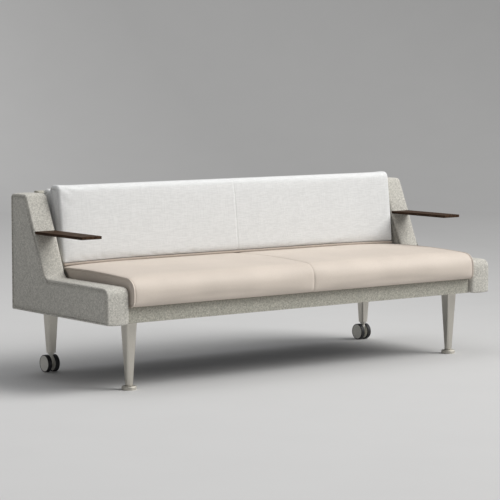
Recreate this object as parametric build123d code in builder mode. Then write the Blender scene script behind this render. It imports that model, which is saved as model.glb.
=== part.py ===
# Sofa bed: a low padded shell with slim wooden arm caps, one seat cushion, a book-folded mattress
# as its back cushion, tapered metal legs, two levelling glides in front and two casters behind.
# Lengths are in millimetres. X runs along the seat, Y runs to the rear, Z points up from the floor.
# Left is the side at low X, as someone who faces the sofa sees it.
import math
import os

from build123d import *

# Overall shell
BODY_WIDTH = 2100.0
BODY_DEPTH = 751.0
FLOOR_GAP = 284.0
CUSHION_OVERHANG = 20.0

# Fits
FIT = 0.3
SOFT_GAP = 0.5
HOLE_FIT = 0.05
CUT_OVERRUN = 5.0

# Arms
ARM_WIDTH = 110.0
ARM_RISE = 496.0
SHELF_RISE = 149.0
SLOPE_FOOT_TO_REAR = 272.0
SLOPE_TOP_TO_REAR = 122.0
ARM_PADDING = 35.0
ARM_EDGE_RADIUS = 9.0
SHELF_NOSE_RADIUS = 32.0
SLOPE_FOOT_RADIUS = 45.0
SLOPE_TOP_RADIUS = 20.0
ARM_HEEL_RADIUS = 18.0

# Arm caps and their brackets
CAP_WIDTH = 101.0
CAP_LENGTH = 417.0
CAP_THICKNESS = 12.0
CAP_TOP_RISE = 345.0
CAP_TAIL = 50.0
CAP_CORNER_RADIUS = 8.0
CAP_EDGE_RADIUS = 1.5
BRACKET_WIDTH = 30.0
BRACKET_THICKNESS = 4.0
BRACKET_REACH = 190.0
BRACKET_ROOT = 70.0
CAP_SCREW_RADIUS = 2.0
CAP_SCREW_HEAD_RADIUS = 4.0
CAP_SCREW_LENGTH = 9.0
CAP_SCREW_SHARES = (0.12, 0.55)

# Seat frame
RAIL_SETBACK = 26.0
RAIL_THICKNESS = 36.0
RAIL_RISE = 66.0
RAIL_EDGE_RADIUS = 6.0
BEAM_RISE = 57.0
FRONT_BEAM_DEPTH = 103.0
SIDE_BEAM_WIDTH = 70.0
REAR_BEAM_TO_REAR = 51.0
REAR_BEAM_DEPTH = 35.0
DECK_BEAM_DEPTH = 35.0
DECK_REAR_GAP = 4.0
CENTRE_BEAM_WIDTH = 60.0
REAR_BLOCK_WIDTH = 91.0
REAR_BLOCK_DEPTH = 85.0
ARM_BOLT_RADIUS = 4.0
ARM_BOLT_HEAD_RADIUS = 8.0
ARM_BOLT_HEAD_HEIGHT = 6.0
ARM_BOLT_WALL = 10.0
ARM_BOLT_SHARES = (0.15, 0.5, 0.85)
DUST_CLOTH_THICKNESS = 1.0
DUST_CLOTH_MARGIN = 2.0

# Back rest
BACK_FOOT_DEPTH = 86.0
BACK_FOOT_RISE = 193.0
LUMBAR_DEPTH = 90.0
LUMBAR_RISE = 277.0
BEND_DEPTH = 82.0
BEND_RISE = 340.0
BROW_DEPTH = 51.0
BROW_RISE = 477.0
BACK_RISE = 504.0
BACK_TOP_THICKNESS = 50.0
BACK_TOP_RADIUS = 12.0
BACK_BOARD_THICKNESS = 18.0
BACK_BOARD_RISE = 480.0
BACK_BOARD_MARGIN = 10.0
PANEL_SIDE_BORDER = 50.0
PANEL_RISE = 465.0
PANEL_RECESS = 8.0
PANEL_THICKNESS = 6.0
PANEL_CORNER_RADIUS = 40.0
BACK_SCREW_RADIUS = 2.5
BACK_SCREW_HEAD_RADIUS = 5.0
BACK_SCREW_HEAD_HEIGHT = 3.0
BACK_SCREW_BITE = 38.0
BACK_SCREW_SHARES = (-0.8, -0.4, 0.0, 0.4, 0.8)

# Seat cushion
CUSHION_SIDE_GAP = 4.0
CUSHION_TO_REAR = 135.0
CUSHION_FRONT_RISE = 195.0
CUSHION_REAR_RISE = 197.0
CUSHION_CROWN = 8.0
CUSHION_NOSE_RADIUS = 60.0
CUSHION_HEEL_RADIUS = 15.0
CUSHION_FOOT_RADIUS = 8.0
CUSHION_END_RADIUS = 16.0
CUSHION_END_DROP = 9.0
CUSHION_SEAM_DEPTH = 5.0
CUSHION_SEAM_WIDTH = 9.0
CROWN_START_SHARE = 0.55
END_STEPS = 3

# Folded mattress
MATTRESS_SIDE_GAP = 14.0
MATTRESS_SEAM_DEPTH = 4.0
MATTRESS_SEAM_WIDTH = 8.0
MATTRESS_END_RADIUS = 14.0
STRIP_THICKNESS = 9.0
STRIP_EDGE_RADIUS = 3.0
STRIP_MARGIN = 6.0
FRONT_PAD_HEIGHT = 327.0
FRONT_PAD_FOOT_DEPTH = 70.0
FRONT_PAD_TOP_DEPTH = 81.0
FRONT_PAD_FOOT_RADIUS = 10.0
FRONT_PAD_HEEL_RADIUS = 15.0
FRONT_PAD_TOP_RADIUS = 28.0
FRONT_PAD_CROWN = 4.0
REAR_PAD_HEIGHT = 307.0
REAR_PAD_FOOT_TO_REAR = 119.0
REAR_PAD_FOOT_DEPTH = 33.5
REAR_PAD_TOP_DEPTH = 58.0
REAR_PAD_LEAN = 75.0
REAR_PAD_FOOT_RADIUS = 5.0
REAR_PAD_TOP_RADIUS = 22.0
PAD_GAP = 0.5

# Straps, their hooks and the rod that holds them
STRAP_WIDTH = 25.0
STRAP_THICKNESS = 4.0
STRAP_REAR_GAP = 7.0
STRAP_END_INSET = 238.0
CLAMP_RISE = 36.0
CLAMP_HEIGHT = 14.0
CLAMP_WALL = 2.0
STRAP_GRIP = 11.0
WIRE_RADIUS = 1.5
HOOK_TIP = 8.0
ROD_RADIUS = 5.0
ROD_RISE = 20.0
ROD_GAP = 0.2
ROD_BEARING = 30.0

# Legs
LEG_PLATE_SIZE = 96.0
LEG_PLATE_THICKNESS = 3.0
LEG_PLATE_INSET_X = 187.5
FRONT_PLATE_SETBACK = 115.0
REAR_PLATE_TO_REAR = 71.0
LEG_OFFSET = 22.0
LEG_TOP_WIDTH = 50.0
LEG_TOP_RADIUS = 4.0
LEG_FOOT_WIDTH = 30.0
LEG_FOOT_RADIUS = 12.6
LEG_FOOT_HEIGHT = 18.0
PLATE_SCREW_INSET = 10.0
PLATE_SCREW_RADIUS = 2.0
PLATE_SCREW_HEAD_RADIUS = 4.0
PLATE_SCREW_HEAD_HEIGHT = 2.5
PLATE_SCREW_BITE = 30.0
STUD_RADIUS = 4.0
STUD_LENGTH = 30.0

# Levelling glides
GLIDE_RADIUS = 31.0
GLIDE_HEIGHT = 16.0
GLIDE_EDGE_RADIUS = 5.0
GLIDE_STEM_RADIUS = 4.0
GLIDE_STEM_LENGTH = 52.0
GLIDE_BORE_MARGIN = 4.0

# Casters
WHEEL_RADIUS = 37.5
WHEEL_WIDTH = 20.0
WHEEL_GAP = 19.0
TYRE_DEPTH = 5.0
TYRE_EDGE_RADIUS = 2.5
HUB_WIDTH = 18.0
DISC_MARGIN = 2.8
DISC_THICKNESS = 3.0
DISC_EDGE_RADIUS = 1.2
CASTER_TRAIL = 11.0
CASTER_HEIGHT = 85.0
AXLE_RADIUS = 4.0
AXLE_HALF_LENGTH = 25.0
NECK_HALF_WIDTH = 8.7
KNUCKLE_RADIUS = 16.0
NECK_SHOULDER_HEIGHT = 70.0
COLLAR_RADIUS = 14.0
COLLAR_HEIGHT = 6.0
WASHER_RADIUS = 9.0
WASHER_HEIGHT = 1.7
CASTER_STEM_RADIUS = 5.5
CASTER_STEM_LENGTH = 38.0
CASTER_STEM_ROOT = 10.0

# Places that follow from the sizes above
ARM_FRONT_Y = (CUSHION_OVERHANG - BODY_DEPTH) / 2
ARM_REAR_Y = ARM_FRONT_Y + BODY_DEPTH
BOX_Z = FLOOR_GAP
ARM_TOP_Z = BOX_Z + ARM_RISE
SHELF_Z = BOX_Z + SHELF_RISE
INNER_HALF = BODY_WIDTH / 2 - ARM_WIDTH
MATTRESS_HALF = INNER_HALF - MATTRESS_SIDE_GAP
STRAP_PITCH = MATTRESS_HALF - STRAP_END_INSET
ARM_X = BODY_WIDTH / 2 - ARM_WIDTH / 2
SLOPE_FOOT_Y = ARM_REAR_Y - SLOPE_FOOT_TO_REAR
SLOPE_TOP_Y = ARM_REAR_Y - SLOPE_TOP_TO_REAR
BOARD_WIDTH = ARM_WIDTH - ARM_PADDING * 2
BOARD_X = INNER_HALF + ARM_PADDING
ARM_BOLT_GRIP = BOARD_WIDTH - ARM_BOLT_WALL
FRONT_BEAM_Y = ARM_FRONT_Y + RAIL_SETBACK + RAIL_THICKNESS
REAR_BEAM_Y = ARM_REAR_Y - REAR_BEAM_TO_REAR
BEAM_END_Y = REAR_BEAM_Y + REAR_BEAM_DEPTH
BEAM_Z = BOX_Z + BEAM_RISE
DECK_Z = BOX_Z + RAIL_RISE
CAP_Z = BOX_Z + CAP_TOP_RISE - CAP_THICKNESS
CUSHION_FRONT_Y = ARM_FRONT_Y - CUSHION_OVERHANG
CUSHION_REAR_Y = ARM_REAR_Y - CUSHION_TO_REAR
REAR_PAD_FOOT_Y = ARM_REAR_Y - REAR_PAD_FOOT_TO_REAR
PAD_JOIN_Y = REAR_PAD_FOOT_Y - REAR_PAD_FOOT_DEPTH
FRONT_PAD_Y = PAD_JOIN_Y - PAD_GAP - FRONT_PAD_FOOT_DEPTH
STRAP_Y = REAR_PAD_FOOT_Y - STRAP_REAR_GAP - STRAP_THICKNESS
ROD_Z = BOX_Z + ROD_RISE
HOOK_RADIUS = ROD_RADIUS + ROD_GAP + WIRE_RADIUS
HOOK_Y = STRAP_Y + STRAP_THICKNESS / 2
ROD_Y = HOOK_Y + HOOK_RADIUS
CLAMP_Z = BOX_Z + CLAMP_RISE
PLATE_Z = BOX_Z - LEG_PLATE_THICKNESS
LEG_X = BODY_WIDTH / 2 - LEG_PLATE_INSET_X + LEG_OFFSET
FRONT_LEG_Y = ARM_FRONT_Y + FRONT_PLATE_SETBACK - LEG_OFFSET
REAR_LEG_Y = ARM_REAR_Y - REAR_PLATE_TO_REAR + LEG_OFFSET
AXLE_Y = REAR_LEG_Y + CASTER_TRAIL
HUB_INSET = (WHEEL_WIDTH - HUB_WIDTH) / 2
SIDES = {"left": -1, "right": 1}


def side_span(side, inner, outer):
    """Give the low and high X of a span measured outward on one side of the sofa."""
    return sorted((side * inner, side * outer))


def slab(x_span, y_span, z_span, mode=Mode.ADD):
    """Add or cut a box between two limits on each axis."""
    spans = (x_span, y_span, z_span)
    with Locations(tuple((low + high) / 2 for low, high in spans)):
        Box(*(high - low for low, high in spans), mode=mode)


def rounded_outline(corners):
    """Draw a closed outline, anticlockwise, through (across, up, radius, bulge of the next side)."""
    sides = []
    for index, (across, up, radius, bulge) in enumerate(corners):
        here = Vector(across, up)
        before = Vector(*corners[index - 1][:2])
        after = Vector(*corners[(index + 1) % len(corners)][:2])
        back = (before - here).normalized()
        ahead = (after - here).normalized()
        half_angle = math.radians(back.get_angle(ahead)) / 2
        reach = radius / math.tan(half_angle)
        middle = here + (back + ahead).normalized() * (radius / math.sin(half_angle) - radius)
        ThreePointArc(here + back * reach, middle, here + ahead * reach)
        sides.append((here + back * reach, here + ahead * reach, ahead, bulge))
    for index, (_, start, ahead, bulge) in enumerate(sides):
        end = sides[(index + 1) % len(sides)][0]
        outward = Vector(ahead.Y, -ahead.X)
        if bulge:
            ThreePointArc(start, (start + end) / 2 + outward * bulge, end)
        else:
            Line(start, end)


def soft_stations(half_length, end_radius, seam_width, seam_depth):
    """List (x, how far the section is drawn in) from one end over the centre seam to the other."""
    half = [(0.0, seam_depth), (seam_width, 0.0)]
    half.append((half_length * CROWN_START_SHARE, 0.0))
    for step in range(END_STEPS, -1, -1):
        angle = math.pi / 2 * step / END_STEPS
        x = half_length - end_radius * (1 - math.cos(angle))
        half.append((x, end_radius * (1 - math.sin(angle))))
    return [(-x, draw) for x, draw in half[:0:-1]] + half


def slope_y(z, inset):
    """Give the Y of the arm's sloping face at one height, moved into the arm by an inset."""
    run = SLOPE_TOP_Y - SLOPE_FOOT_Y
    rise = ARM_TOP_Z - SHELF_Z
    return SLOPE_FOOT_Y + (z - SHELF_Z) * run / rise + inset * math.hypot(run, rise) / rise


def arm_outline(inset, bottom_z):
    """List the corners of the arm's side view, moved inward, down to a given height."""
    shelf_z = SHELF_Z - inset
    top_z = ARM_TOP_Z - inset
    return [
        (ARM_FRONT_Y + inset, bottom_z),
        (ARM_REAR_Y - inset, bottom_z),
        (ARM_REAR_Y - inset, top_z),
        (slope_y(top_z, inset), top_z),
        (slope_y(shelf_z, inset), shelf_z),
        (ARM_FRONT_Y + inset, shelf_z),
    ]


CAP_REAR_Y = slope_y(CAP_Z + CAP_THICKNESS / 2, 0.0) + CAP_TAIL
CAP_FRONT_Y = CAP_REAR_Y - CAP_LENGTH
BRACKET_FRONT_Y = CAP_REAR_Y - BRACKET_REACH
BRACKET_REAR_Y = CAP_REAR_Y + BRACKET_ROOT


def cut_cap_slots(side):
    """Cut the slots that take an arm cap's tail and its bracket."""
    half_cap = CAP_WIDTH / 2 + FIT
    half_bracket = BRACKET_WIDTH / 2 + FIT
    cap_span = side_span(side, ARM_X - half_cap, ARM_X + half_cap)
    bracket_span = side_span(side, ARM_X - half_bracket, ARM_X + half_bracket)
    cap_height = (CAP_Z - FIT, CAP_Z + CAP_THICKNESS + FIT)
    bracket_height = (CAP_Z - FIT, CAP_Z + BRACKET_THICKNESS + FIT)
    slab(cap_span, (CAP_FRONT_Y, CAP_REAR_Y + FIT), cap_height, Mode.SUBTRACT)
    slab(bracket_span, (CAP_FRONT_Y, BRACKET_REAR_Y + FIT), bracket_height, Mode.SUBTRACT)


def arm_bolt_places():
    """List the (Y, Z) places of the bolts between a side beam and its arm board."""
    start = FRONT_BEAM_Y + FRONT_BEAM_DEPTH
    length = REAR_BEAM_Y - start
    return [(start + length * share, BOX_Z + BEAM_RISE / 2) for share in ARM_BOLT_SHARES]


def make_arm_cover(name, side):
    """Foam and cloth of one arm, with a pocket for its board and a slot for its cap."""
    outline = arm_outline(0.0, BOX_Z)
    radii = (ARM_HEEL_RADIUS, SLOPE_TOP_RADIUS, SLOPE_FOOT_RADIUS, SHELF_NOSE_RADIUS)
    with BuildPart() as cover:
        with BuildSketch(Plane.YZ.offset(side * ARM_X - ARM_WIDTH / 2)) as profile:
            with BuildLine():
                Polyline(*outline, close=True)
            make_face()
            for corner, radius in zip(outline[2:], radii):
                fillet(profile.vertices().sort_by_distance(corner)[0], radius)
        extrude(amount=ARM_WIDTH)
        flat_sides = cover.faces().filter_by(Axis.X)
        rims = [edge for edge in flat_sides.edges() if edge.center().Z > BOX_Z + FIT]
        fillet(rims, ARM_EDGE_RADIUS)
        with BuildSketch(Plane.YZ.offset(side * ARM_X - BOARD_WIDTH / 2 - FIT)):
            with BuildLine():
                Polyline(*arm_outline(ARM_PADDING - FIT, BOX_Z - CUT_OVERRUN), close=True)
            make_face()
        extrude(amount=BOARD_WIDTH + FIT * 2, mode=Mode.SUBTRACT)
        beam_span = side_span(side, INNER_HALF - CUT_OVERRUN, BOARD_X)
        beam_depth = (FRONT_BEAM_Y - FIT, BEAM_END_Y + FIT)
        slab(beam_span, beam_depth, (BOX_Z - CUT_OVERRUN, BEAM_Z + FIT), Mode.SUBTRACT)
        cut_cap_slots(side)
    cover.part.label = name
    export_step(cover.part, f"parts/{name}.step")


def make_arm_board(name, side):
    """Laminated board inside one arm, which carries the cap, the bracket and the seat frame."""
    inner_face = Plane.YZ.offset(side * BOARD_X)
    with BuildPart() as board:
        with BuildSketch(Plane.YZ.offset(side * ARM_X - BOARD_WIDTH / 2)):
            with BuildLine():
                Polyline(*arm_outline(ARM_PADDING, BOX_Z), close=True)
            make_face()
        extrude(amount=BOARD_WIDTH)
        cut_cap_slots(side)
        with BuildSketch(inner_face):
            with Locations(*arm_bolt_places()):
                Circle(ARM_BOLT_RADIUS + HOLE_FIT)
        extrude(amount=side * (ARM_BOLT_GRIP + FIT), mode=Mode.SUBTRACT)
    board.part.label = name
    export_step(board.part, f"parts/{name}.step")


def cap_screw_places(side):
    """List the (X, Y) places of the screws through one bracket into its cap."""
    return [(side * ARM_X, BRACKET_FRONT_Y + BRACKET_REACH * share) for share in CAP_SCREW_SHARES]


def make_arm_cap(name, side):
    """Walnut cap of one arm, let into the slope at its rear end."""
    half_bracket = BRACKET_WIDTH / 2 + FIT
    with BuildPart() as cap:
        cap_span = side_span(side, ARM_X - CAP_WIDTH / 2, ARM_X + CAP_WIDTH / 2)
        slab(cap_span, (CAP_FRONT_Y, CAP_REAR_Y), (CAP_Z, CAP_Z + CAP_THICKNESS))
        front_corners = cap.edges().filter_by(Axis.Z).group_by(Axis.Y)[0]
        fillet(front_corners, CAP_CORNER_RADIUS)
        faces = cap.faces().sort_by(Axis.Z)
        fillet(faces[0].edges() + faces[-1].edges(), CAP_EDGE_RADIUS)
        bracket_span = side_span(side, ARM_X - half_bracket, ARM_X + half_bracket)
        bracket_depth = (BRACKET_FRONT_Y - FIT, CAP_REAR_Y + CUT_OVERRUN)
        bracket_height = (CAP_Z - CUT_OVERRUN, CAP_Z + BRACKET_THICKNESS + FIT)
        slab(bracket_span, bracket_depth, bracket_height, Mode.SUBTRACT)
        with BuildSketch(Plane.XY.offset(CAP_Z)):
            with Locations(*cap_screw_places(side)):
                Circle(CAP_SCREW_RADIUS + HOLE_FIT)
        extrude(amount=CAP_SCREW_LENGTH + FIT, mode=Mode.SUBTRACT)
    cap.part.label = name
    export_step(cap.part, f"parts/{name}.step")


def make_cap_bracket(name, side):
    """Steel tongue that runs from the arm board out under the cap."""
    with BuildPart() as bracket:
        half = BRACKET_WIDTH / 2
        depth = (BRACKET_FRONT_Y, BRACKET_REAR_Y)
        slab(side_span(side, ARM_X - half, ARM_X + half), depth, (CAP_Z, CAP_Z + BRACKET_THICKNESS))
        with Locations(Plane.XY.offset(CAP_Z)):
            with Locations(*((x, y, 0.0) for x, y in cap_screw_places(side))):
                Cone(
                    CAP_SCREW_HEAD_RADIUS + HOLE_FIT,
                    CAP_SCREW_RADIUS + HOLE_FIT,
                    BRACKET_THICKNESS,
                    align=(Align.CENTER, Align.CENTER, Align.MIN),
                    mode=Mode.SUBTRACT,
                )
    bracket.part.label = name
    export_step(bracket.part, f"parts/{name}.step")


def make_cap_screws():
    """Countersunk screws that hold both caps on their brackets."""
    places = [place for side in SIDES.values() for place in cap_screw_places(side)]
    with BuildPart() as screws:
        with Locations(*((x, y, CAP_Z) for x, y in places)):
            Cone(
                CAP_SCREW_HEAD_RADIUS,
                CAP_SCREW_RADIUS,
                BRACKET_THICKNESS,
                align=(Align.CENTER, Align.CENTER, Align.MIN),
            )
            Cylinder(CAP_SCREW_RADIUS, CAP_SCREW_LENGTH, align=(Align.CENTER, Align.CENTER, Align.MIN))
    screws.part.label = "cap_screws"
    export_step(screws.part, "parts/cap_screws.step")


def plate_centre(side, end):
    """Give the (X, Y) centre of a leg plate, where end is -1 in front and 1 behind."""
    y = ARM_FRONT_Y + FRONT_PLATE_SETBACK if end < 0 else ARM_REAR_Y - REAR_PLATE_TO_REAR
    return side * (BODY_WIDTH / 2 - LEG_PLATE_INSET_X), y


def plate_screw_places(side, end):
    """List the three plate corners that the leg doesn't cover."""
    x, y = plate_centre(side, end)
    reach = LEG_PLATE_SIZE / 2 - PLATE_SCREW_INSET
    signs = ((-side, -end), (-side, end), (side, -end))
    return [(x + across * reach, y + along * reach) for across, along in signs]


def all_plate_screw_places():
    """List the screw places of all four leg plates."""
    corners = [(side, end) for side in SIDES.values() for end in (-1, 1)]
    return [place for side, end in corners for place in plate_screw_places(side, end)]


def leg_place(side, end):
    """Give the (X, Y) of a leg's axis."""
    return side * LEG_X, FRONT_LEG_Y if end < 0 else REAR_LEG_Y


def drill_plate_screws():
    """Cut the pilot holes of the leg plate screws into the timber above the plates."""
    with Locations(*((x, y, BOX_Z - CUT_OVERRUN) for x, y in all_plate_screw_places())):
        Cylinder(
            PLATE_SCREW_RADIUS + HOLE_FIT,
            CUT_OVERRUN + PLATE_SCREW_BITE + FIT,
            align=(Align.CENTER, Align.CENTER, Align.MIN),
            mode=Mode.SUBTRACT,
        )


def back_screw_places():
    """List the (X, Y) places of the screws from the rear beam up into the back board."""
    y = BEAM_END_Y - BACK_BOARD_THICKNESS / 2
    return [(INNER_HALF * share, y) for share in BACK_SCREW_SHARES]


def make_front_rail():
    """Cloth-covered rail under the front of the cushion, set back between the arms."""
    half = INNER_HALF - FIT
    rear_y = FRONT_BEAM_Y
    with BuildPart() as rail:
        slab((-half, half), (rear_y - RAIL_THICKNESS, rear_y), (BOX_Z, DECK_Z))
        front_edges = rail.edges().filter_by(Axis.X).group_by(Axis.Y)[0]
        fillet(front_edges, RAIL_EDGE_RADIUS)
    rail.part.label = "front_rail"
    export_step(rail.part, "parts/front_rail.step")


def make_front_beam():
    """Wide timber behind the front rail, which the front leg plates are screwed to."""
    with BuildPart() as beam:
        depth = (FRONT_BEAM_Y, FRONT_BEAM_Y + FRONT_BEAM_DEPTH)
        slab((-BOARD_X, BOARD_X), depth, (BOX_Z, BEAM_Z))
        drill_plate_screws()
    beam.part.label = "front_beam"
    export_step(beam.part, "parts/front_beam.step")


def make_rear_beam():
    """Timber under the back rest, with screws up into the back board."""
    with BuildPart() as beam:
        slab((-BOARD_X, BOARD_X), (REAR_BEAM_Y, BEAM_END_Y), (BOX_Z, BEAM_Z))
        drill_plate_screws()
        with Locations(*((x, y, BOX_Z) for x, y in back_screw_places())):
            Cylinder(
                BACK_SCREW_RADIUS + HOLE_FIT,
                BEAM_RISE,
                align=(Align.CENTER, Align.CENTER, Align.MIN),
                mode=Mode.SUBTRACT,
            )
            Cylinder(
                BACK_SCREW_HEAD_RADIUS + HOLE_FIT,
                BACK_SCREW_HEAD_HEIGHT + HOLE_FIT,
                align=(Align.CENTER, Align.CENTER, Align.MIN),
                mode=Mode.SUBTRACT,
            )
    beam.part.label = "rear_beam"
    export_step(beam.part, "parts/rear_beam.step")


def make_side_beam(name, side):
    """Timber along one arm, bolted to the arm board."""
    inner = BOARD_X - SIDE_BEAM_WIDTH
    start = FRONT_BEAM_Y + FRONT_BEAM_DEPTH
    with BuildPart() as beam:
        slab(side_span(side, inner, BOARD_X), (start, REAR_BEAM_Y), (BOX_Z, BEAM_Z))
        with BuildSketch(Plane.YZ.offset(side * inner)):
            with Locations(*arm_bolt_places()):
                Circle(ARM_BOLT_RADIUS + HOLE_FIT)
        extrude(amount=side * SIDE_BEAM_WIDTH, mode=Mode.SUBTRACT)
        with BuildSketch(Plane.YZ.offset(side * inner)):
            with Locations(*arm_bolt_places()):
                Circle(ARM_BOLT_HEAD_RADIUS + HOLE_FIT)
        extrude(amount=side * (ARM_BOLT_HEAD_HEIGHT + HOLE_FIT), mode=Mode.SUBTRACT)
        drill_plate_screws()
    beam.part.label = name
    export_step(beam.part, f"parts/{name}.step")


def deck_beam_y():
    """Give the front of the beam that carries the rear of the deck."""
    return CUSHION_REAR_Y - DECK_REAR_GAP - DECK_BEAM_DEPTH


def make_deck_beam():
    """Timber that carries the rear edge of the seat deck."""
    start = deck_beam_y()
    half = BOARD_X - SIDE_BEAM_WIDTH
    with BuildPart() as beam:
        slab((-half, half), (start, start + DECK_BEAM_DEPTH), (BOX_Z, BEAM_Z))
    beam.part.label = "deck_beam"
    export_step(beam.part, "parts/deck_beam.step")


def make_centre_beam():
    """Timber across the middle of the seat frame."""
    half = CENTRE_BEAM_WIDTH / 2
    with BuildPart() as beam:
        slab((-half, half), (FRONT_BEAM_Y + FRONT_BEAM_DEPTH, deck_beam_y()), (BOX_Z, BEAM_Z))
    beam.part.label = "centre_beam"
    export_step(beam.part, "parts/centre_beam.step")


def make_rear_block(name, side):
    """Corner block that takes a rear leg plate and one end of the strap rod."""
    outer = BOARD_X - SIDE_BEAM_WIDTH
    inner = outer - REAR_BLOCK_WIDTH
    with BuildPart() as block:
        depth = (REAR_BEAM_Y - REAR_BLOCK_DEPTH, REAR_BEAM_Y)
        slab(side_span(side, inner, outer), depth, (BOX_Z, BEAM_Z))
        drill_plate_screws()
        with BuildSketch(Plane.YZ.offset(side * inner)):
            with Locations((ROD_Y, ROD_Z)):
                Circle(ROD_RADIUS + HOLE_FIT)
        extrude(amount=side * (ROD_BEARING + FIT), mode=Mode.SUBTRACT)
    block.part.label = name
    export_step(block.part, f"parts/{name}.step")


def make_seat_deck():
    """Plywood deck that the seat cushion lies on."""
    half = INNER_HALF - FIT
    with BuildPart() as deck:
        slab((-half, half), (FRONT_BEAM_Y, deck_beam_y() + DECK_BEAM_DEPTH), (BEAM_Z, DECK_Z))
    deck.part.label = "seat_deck"
    export_step(deck.part, "parts/seat_deck.step")


def make_dust_cloth():
    """Cloth under the seat frame, cut out round the four leg plates."""
    half = INNER_HALF - DUST_CLOTH_MARGIN
    depth = (FRONT_BEAM_Y + DUST_CLOTH_MARGIN, BEAM_END_Y - DUST_CLOTH_MARGIN)
    cut = LEG_PLATE_SIZE + DUST_CLOTH_MARGIN * 2
    with BuildPart() as cloth:
        slab((-half, half), depth, (BOX_Z - DUST_CLOTH_THICKNESS, BOX_Z))
        places = [plate_centre(side, end) for side in SIDES.values() for end in (-1, 1)]
        with Locations(*((x, y, BOX_Z) for x, y in places)):
            Box(cut, cut, CUT_OVERRUN, mode=Mode.SUBTRACT)
    cloth.part.label = "dust_cloth"
    export_step(cloth.part, "parts/dust_cloth.step")


def make_arm_bolts():
    """Bolts from the side beams into the arm boards."""
    with BuildPart() as bolts:
        for side in SIDES.values():
            head_x = BOARD_X - SIDE_BEAM_WIDTH
            with BuildSketch(Plane.YZ.offset(side * head_x)):
                with Locations(*arm_bolt_places()):
                    Circle(ARM_BOLT_RADIUS)
            extrude(amount=side * (SIDE_BEAM_WIDTH + ARM_BOLT_GRIP))
            with BuildSketch(Plane.YZ.offset(side * head_x)):
                with Locations(*arm_bolt_places()):
                    Circle(ARM_BOLT_HEAD_RADIUS)
            extrude(amount=side * ARM_BOLT_HEAD_HEIGHT)
    bolts.part.label = "arm_bolts"
    export_step(bolts.part, "parts/arm_bolts.step")


def back_face_points(shift):
    """List the places of the back rest's front face, moved to the rear by a shift."""
    face = (
        (BACK_FOOT_DEPTH, BACK_FOOT_RISE),
        (LUMBAR_DEPTH, LUMBAR_RISE),
        (BEND_DEPTH, BEND_RISE),
        (BROW_DEPTH, BROW_RISE),
    )
    return [(ARM_REAR_Y - depth + shift, BOX_Z + rise) for depth, rise in face]


def draw_back_face(shift):
    """Draw the front face of the back rest from its foot to its brow."""
    foot, lumbar, bend, brow = back_face_points(shift)
    base = (foot[0], BEAM_Z)
    Line(base, foot)
    ThreePointArc(foot, lumbar, bend)
    Line(bend, brow)
    return base, bend, brow


def panel_prism(margin):
    """Build a block with the panel's outline as seen from the front, grown by a margin."""
    half = INNER_HALF - PANEL_SIDE_BORDER + margin
    top_z = BOX_Z + PANEL_RISE + margin
    with BuildPart() as prism:
        with BuildSketch(Plane.XZ.offset(-ARM_REAR_Y)) as outline:
            with Locations((0.0, (BEAM_Z + top_z) / 2)):
                Rectangle(half * 2, top_z - BEAM_Z)
            fillet(outline.vertices().group_by(Axis.Y)[-1], PANEL_CORNER_RADIUS)
        extrude(amount=BODY_DEPTH)
    return prism.part


def panel_bay():
    """Build the space in front of the panel's rear face, inside the border of the back rest."""
    half = INNER_HALF - PANEL_SIDE_BORDER + FIT
    with BuildPart() as cutter:
        with BuildSketch(Plane.YZ.offset(-half)):
            with BuildLine():
                base, _, brow = draw_back_face(PANEL_RECESS + PANEL_THICKNESS + FIT)
                front_y = base[0] - BACK_TOP_THICKNESS
                Polyline(brow, (front_y, brow[1]), (front_y, base[1]), base)
            make_face()
        extrude(amount=half * 2)
        add(panel_prism(FIT), mode=Mode.INTERSECT)
    return cutter.part


def make_back_panel():
    """Smooth panel let into the front of the back rest."""
    half = INNER_HALF - PANEL_SIDE_BORDER
    with BuildPart() as panel:
        with BuildSketch(Plane.YZ.offset(-half)):
            with BuildLine():
                front_base, _, front_brow = draw_back_face(PANEL_RECESS)
                rear_base, _, rear_brow = draw_back_face(PANEL_RECESS + PANEL_THICKNESS)
                Line(front_base, rear_base)
                Line(front_brow, rear_brow)
            make_face()
        extrude(amount=half * 2)
        add(panel_prism(0.0), mode=Mode.INTERSECT)
    panel.part.label = "back_panel"
    export_step(panel.part, "parts/back_panel.step")


def make_back_cover():
    """Foam and cloth of the back rest, with a pocket for its board and a bay for its panel."""
    half = INNER_HALF - FIT
    top_z = BOX_Z + BACK_RISE
    board_y = BEAM_END_Y - BACK_BOARD_THICKNESS
    board_half = INNER_HALF - BACK_BOARD_MARGIN + FIT
    with BuildPart() as cover:
        with BuildSketch(Plane.YZ.offset(-half)):
            with BuildLine():
                base, bend, brow = draw_back_face(0.0)
                top_front = (ARM_REAR_Y - BACK_TOP_THICKNESS + BACK_TOP_RADIUS, top_z)
                top_rear = (ARM_REAR_Y - BACK_TOP_RADIUS, top_z)
                TangentArc(brow, top_front, tangent=Vector(*brow) - Vector(*bend))
                Line(top_front, top_rear)
                rear_start = (ARM_REAR_Y, top_z - BACK_TOP_RADIUS)
                RadiusArc(top_rear, rear_start, BACK_TOP_RADIUS)
                skirt_y = BEAM_END_Y + FIT
                Polyline(rear_start, (ARM_REAR_Y, BOX_Z), (skirt_y, BOX_Z), (skirt_y, BEAM_Z), base)
            make_face()
        extrude(amount=half * 2)
        pocket = (board_y - FIT, BEAM_END_Y + FIT)
        pocket_top = BOX_Z + BACK_BOARD_RISE + FIT
        slab((-board_half, board_half), pocket, (BEAM_Z - CUT_OVERRUN, pocket_top), Mode.SUBTRACT)
        add(panel_bay(), mode=Mode.SUBTRACT)
    cover.part.label = "back_cover"
    export_step(cover.part, "parts/back_cover.step")


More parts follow.
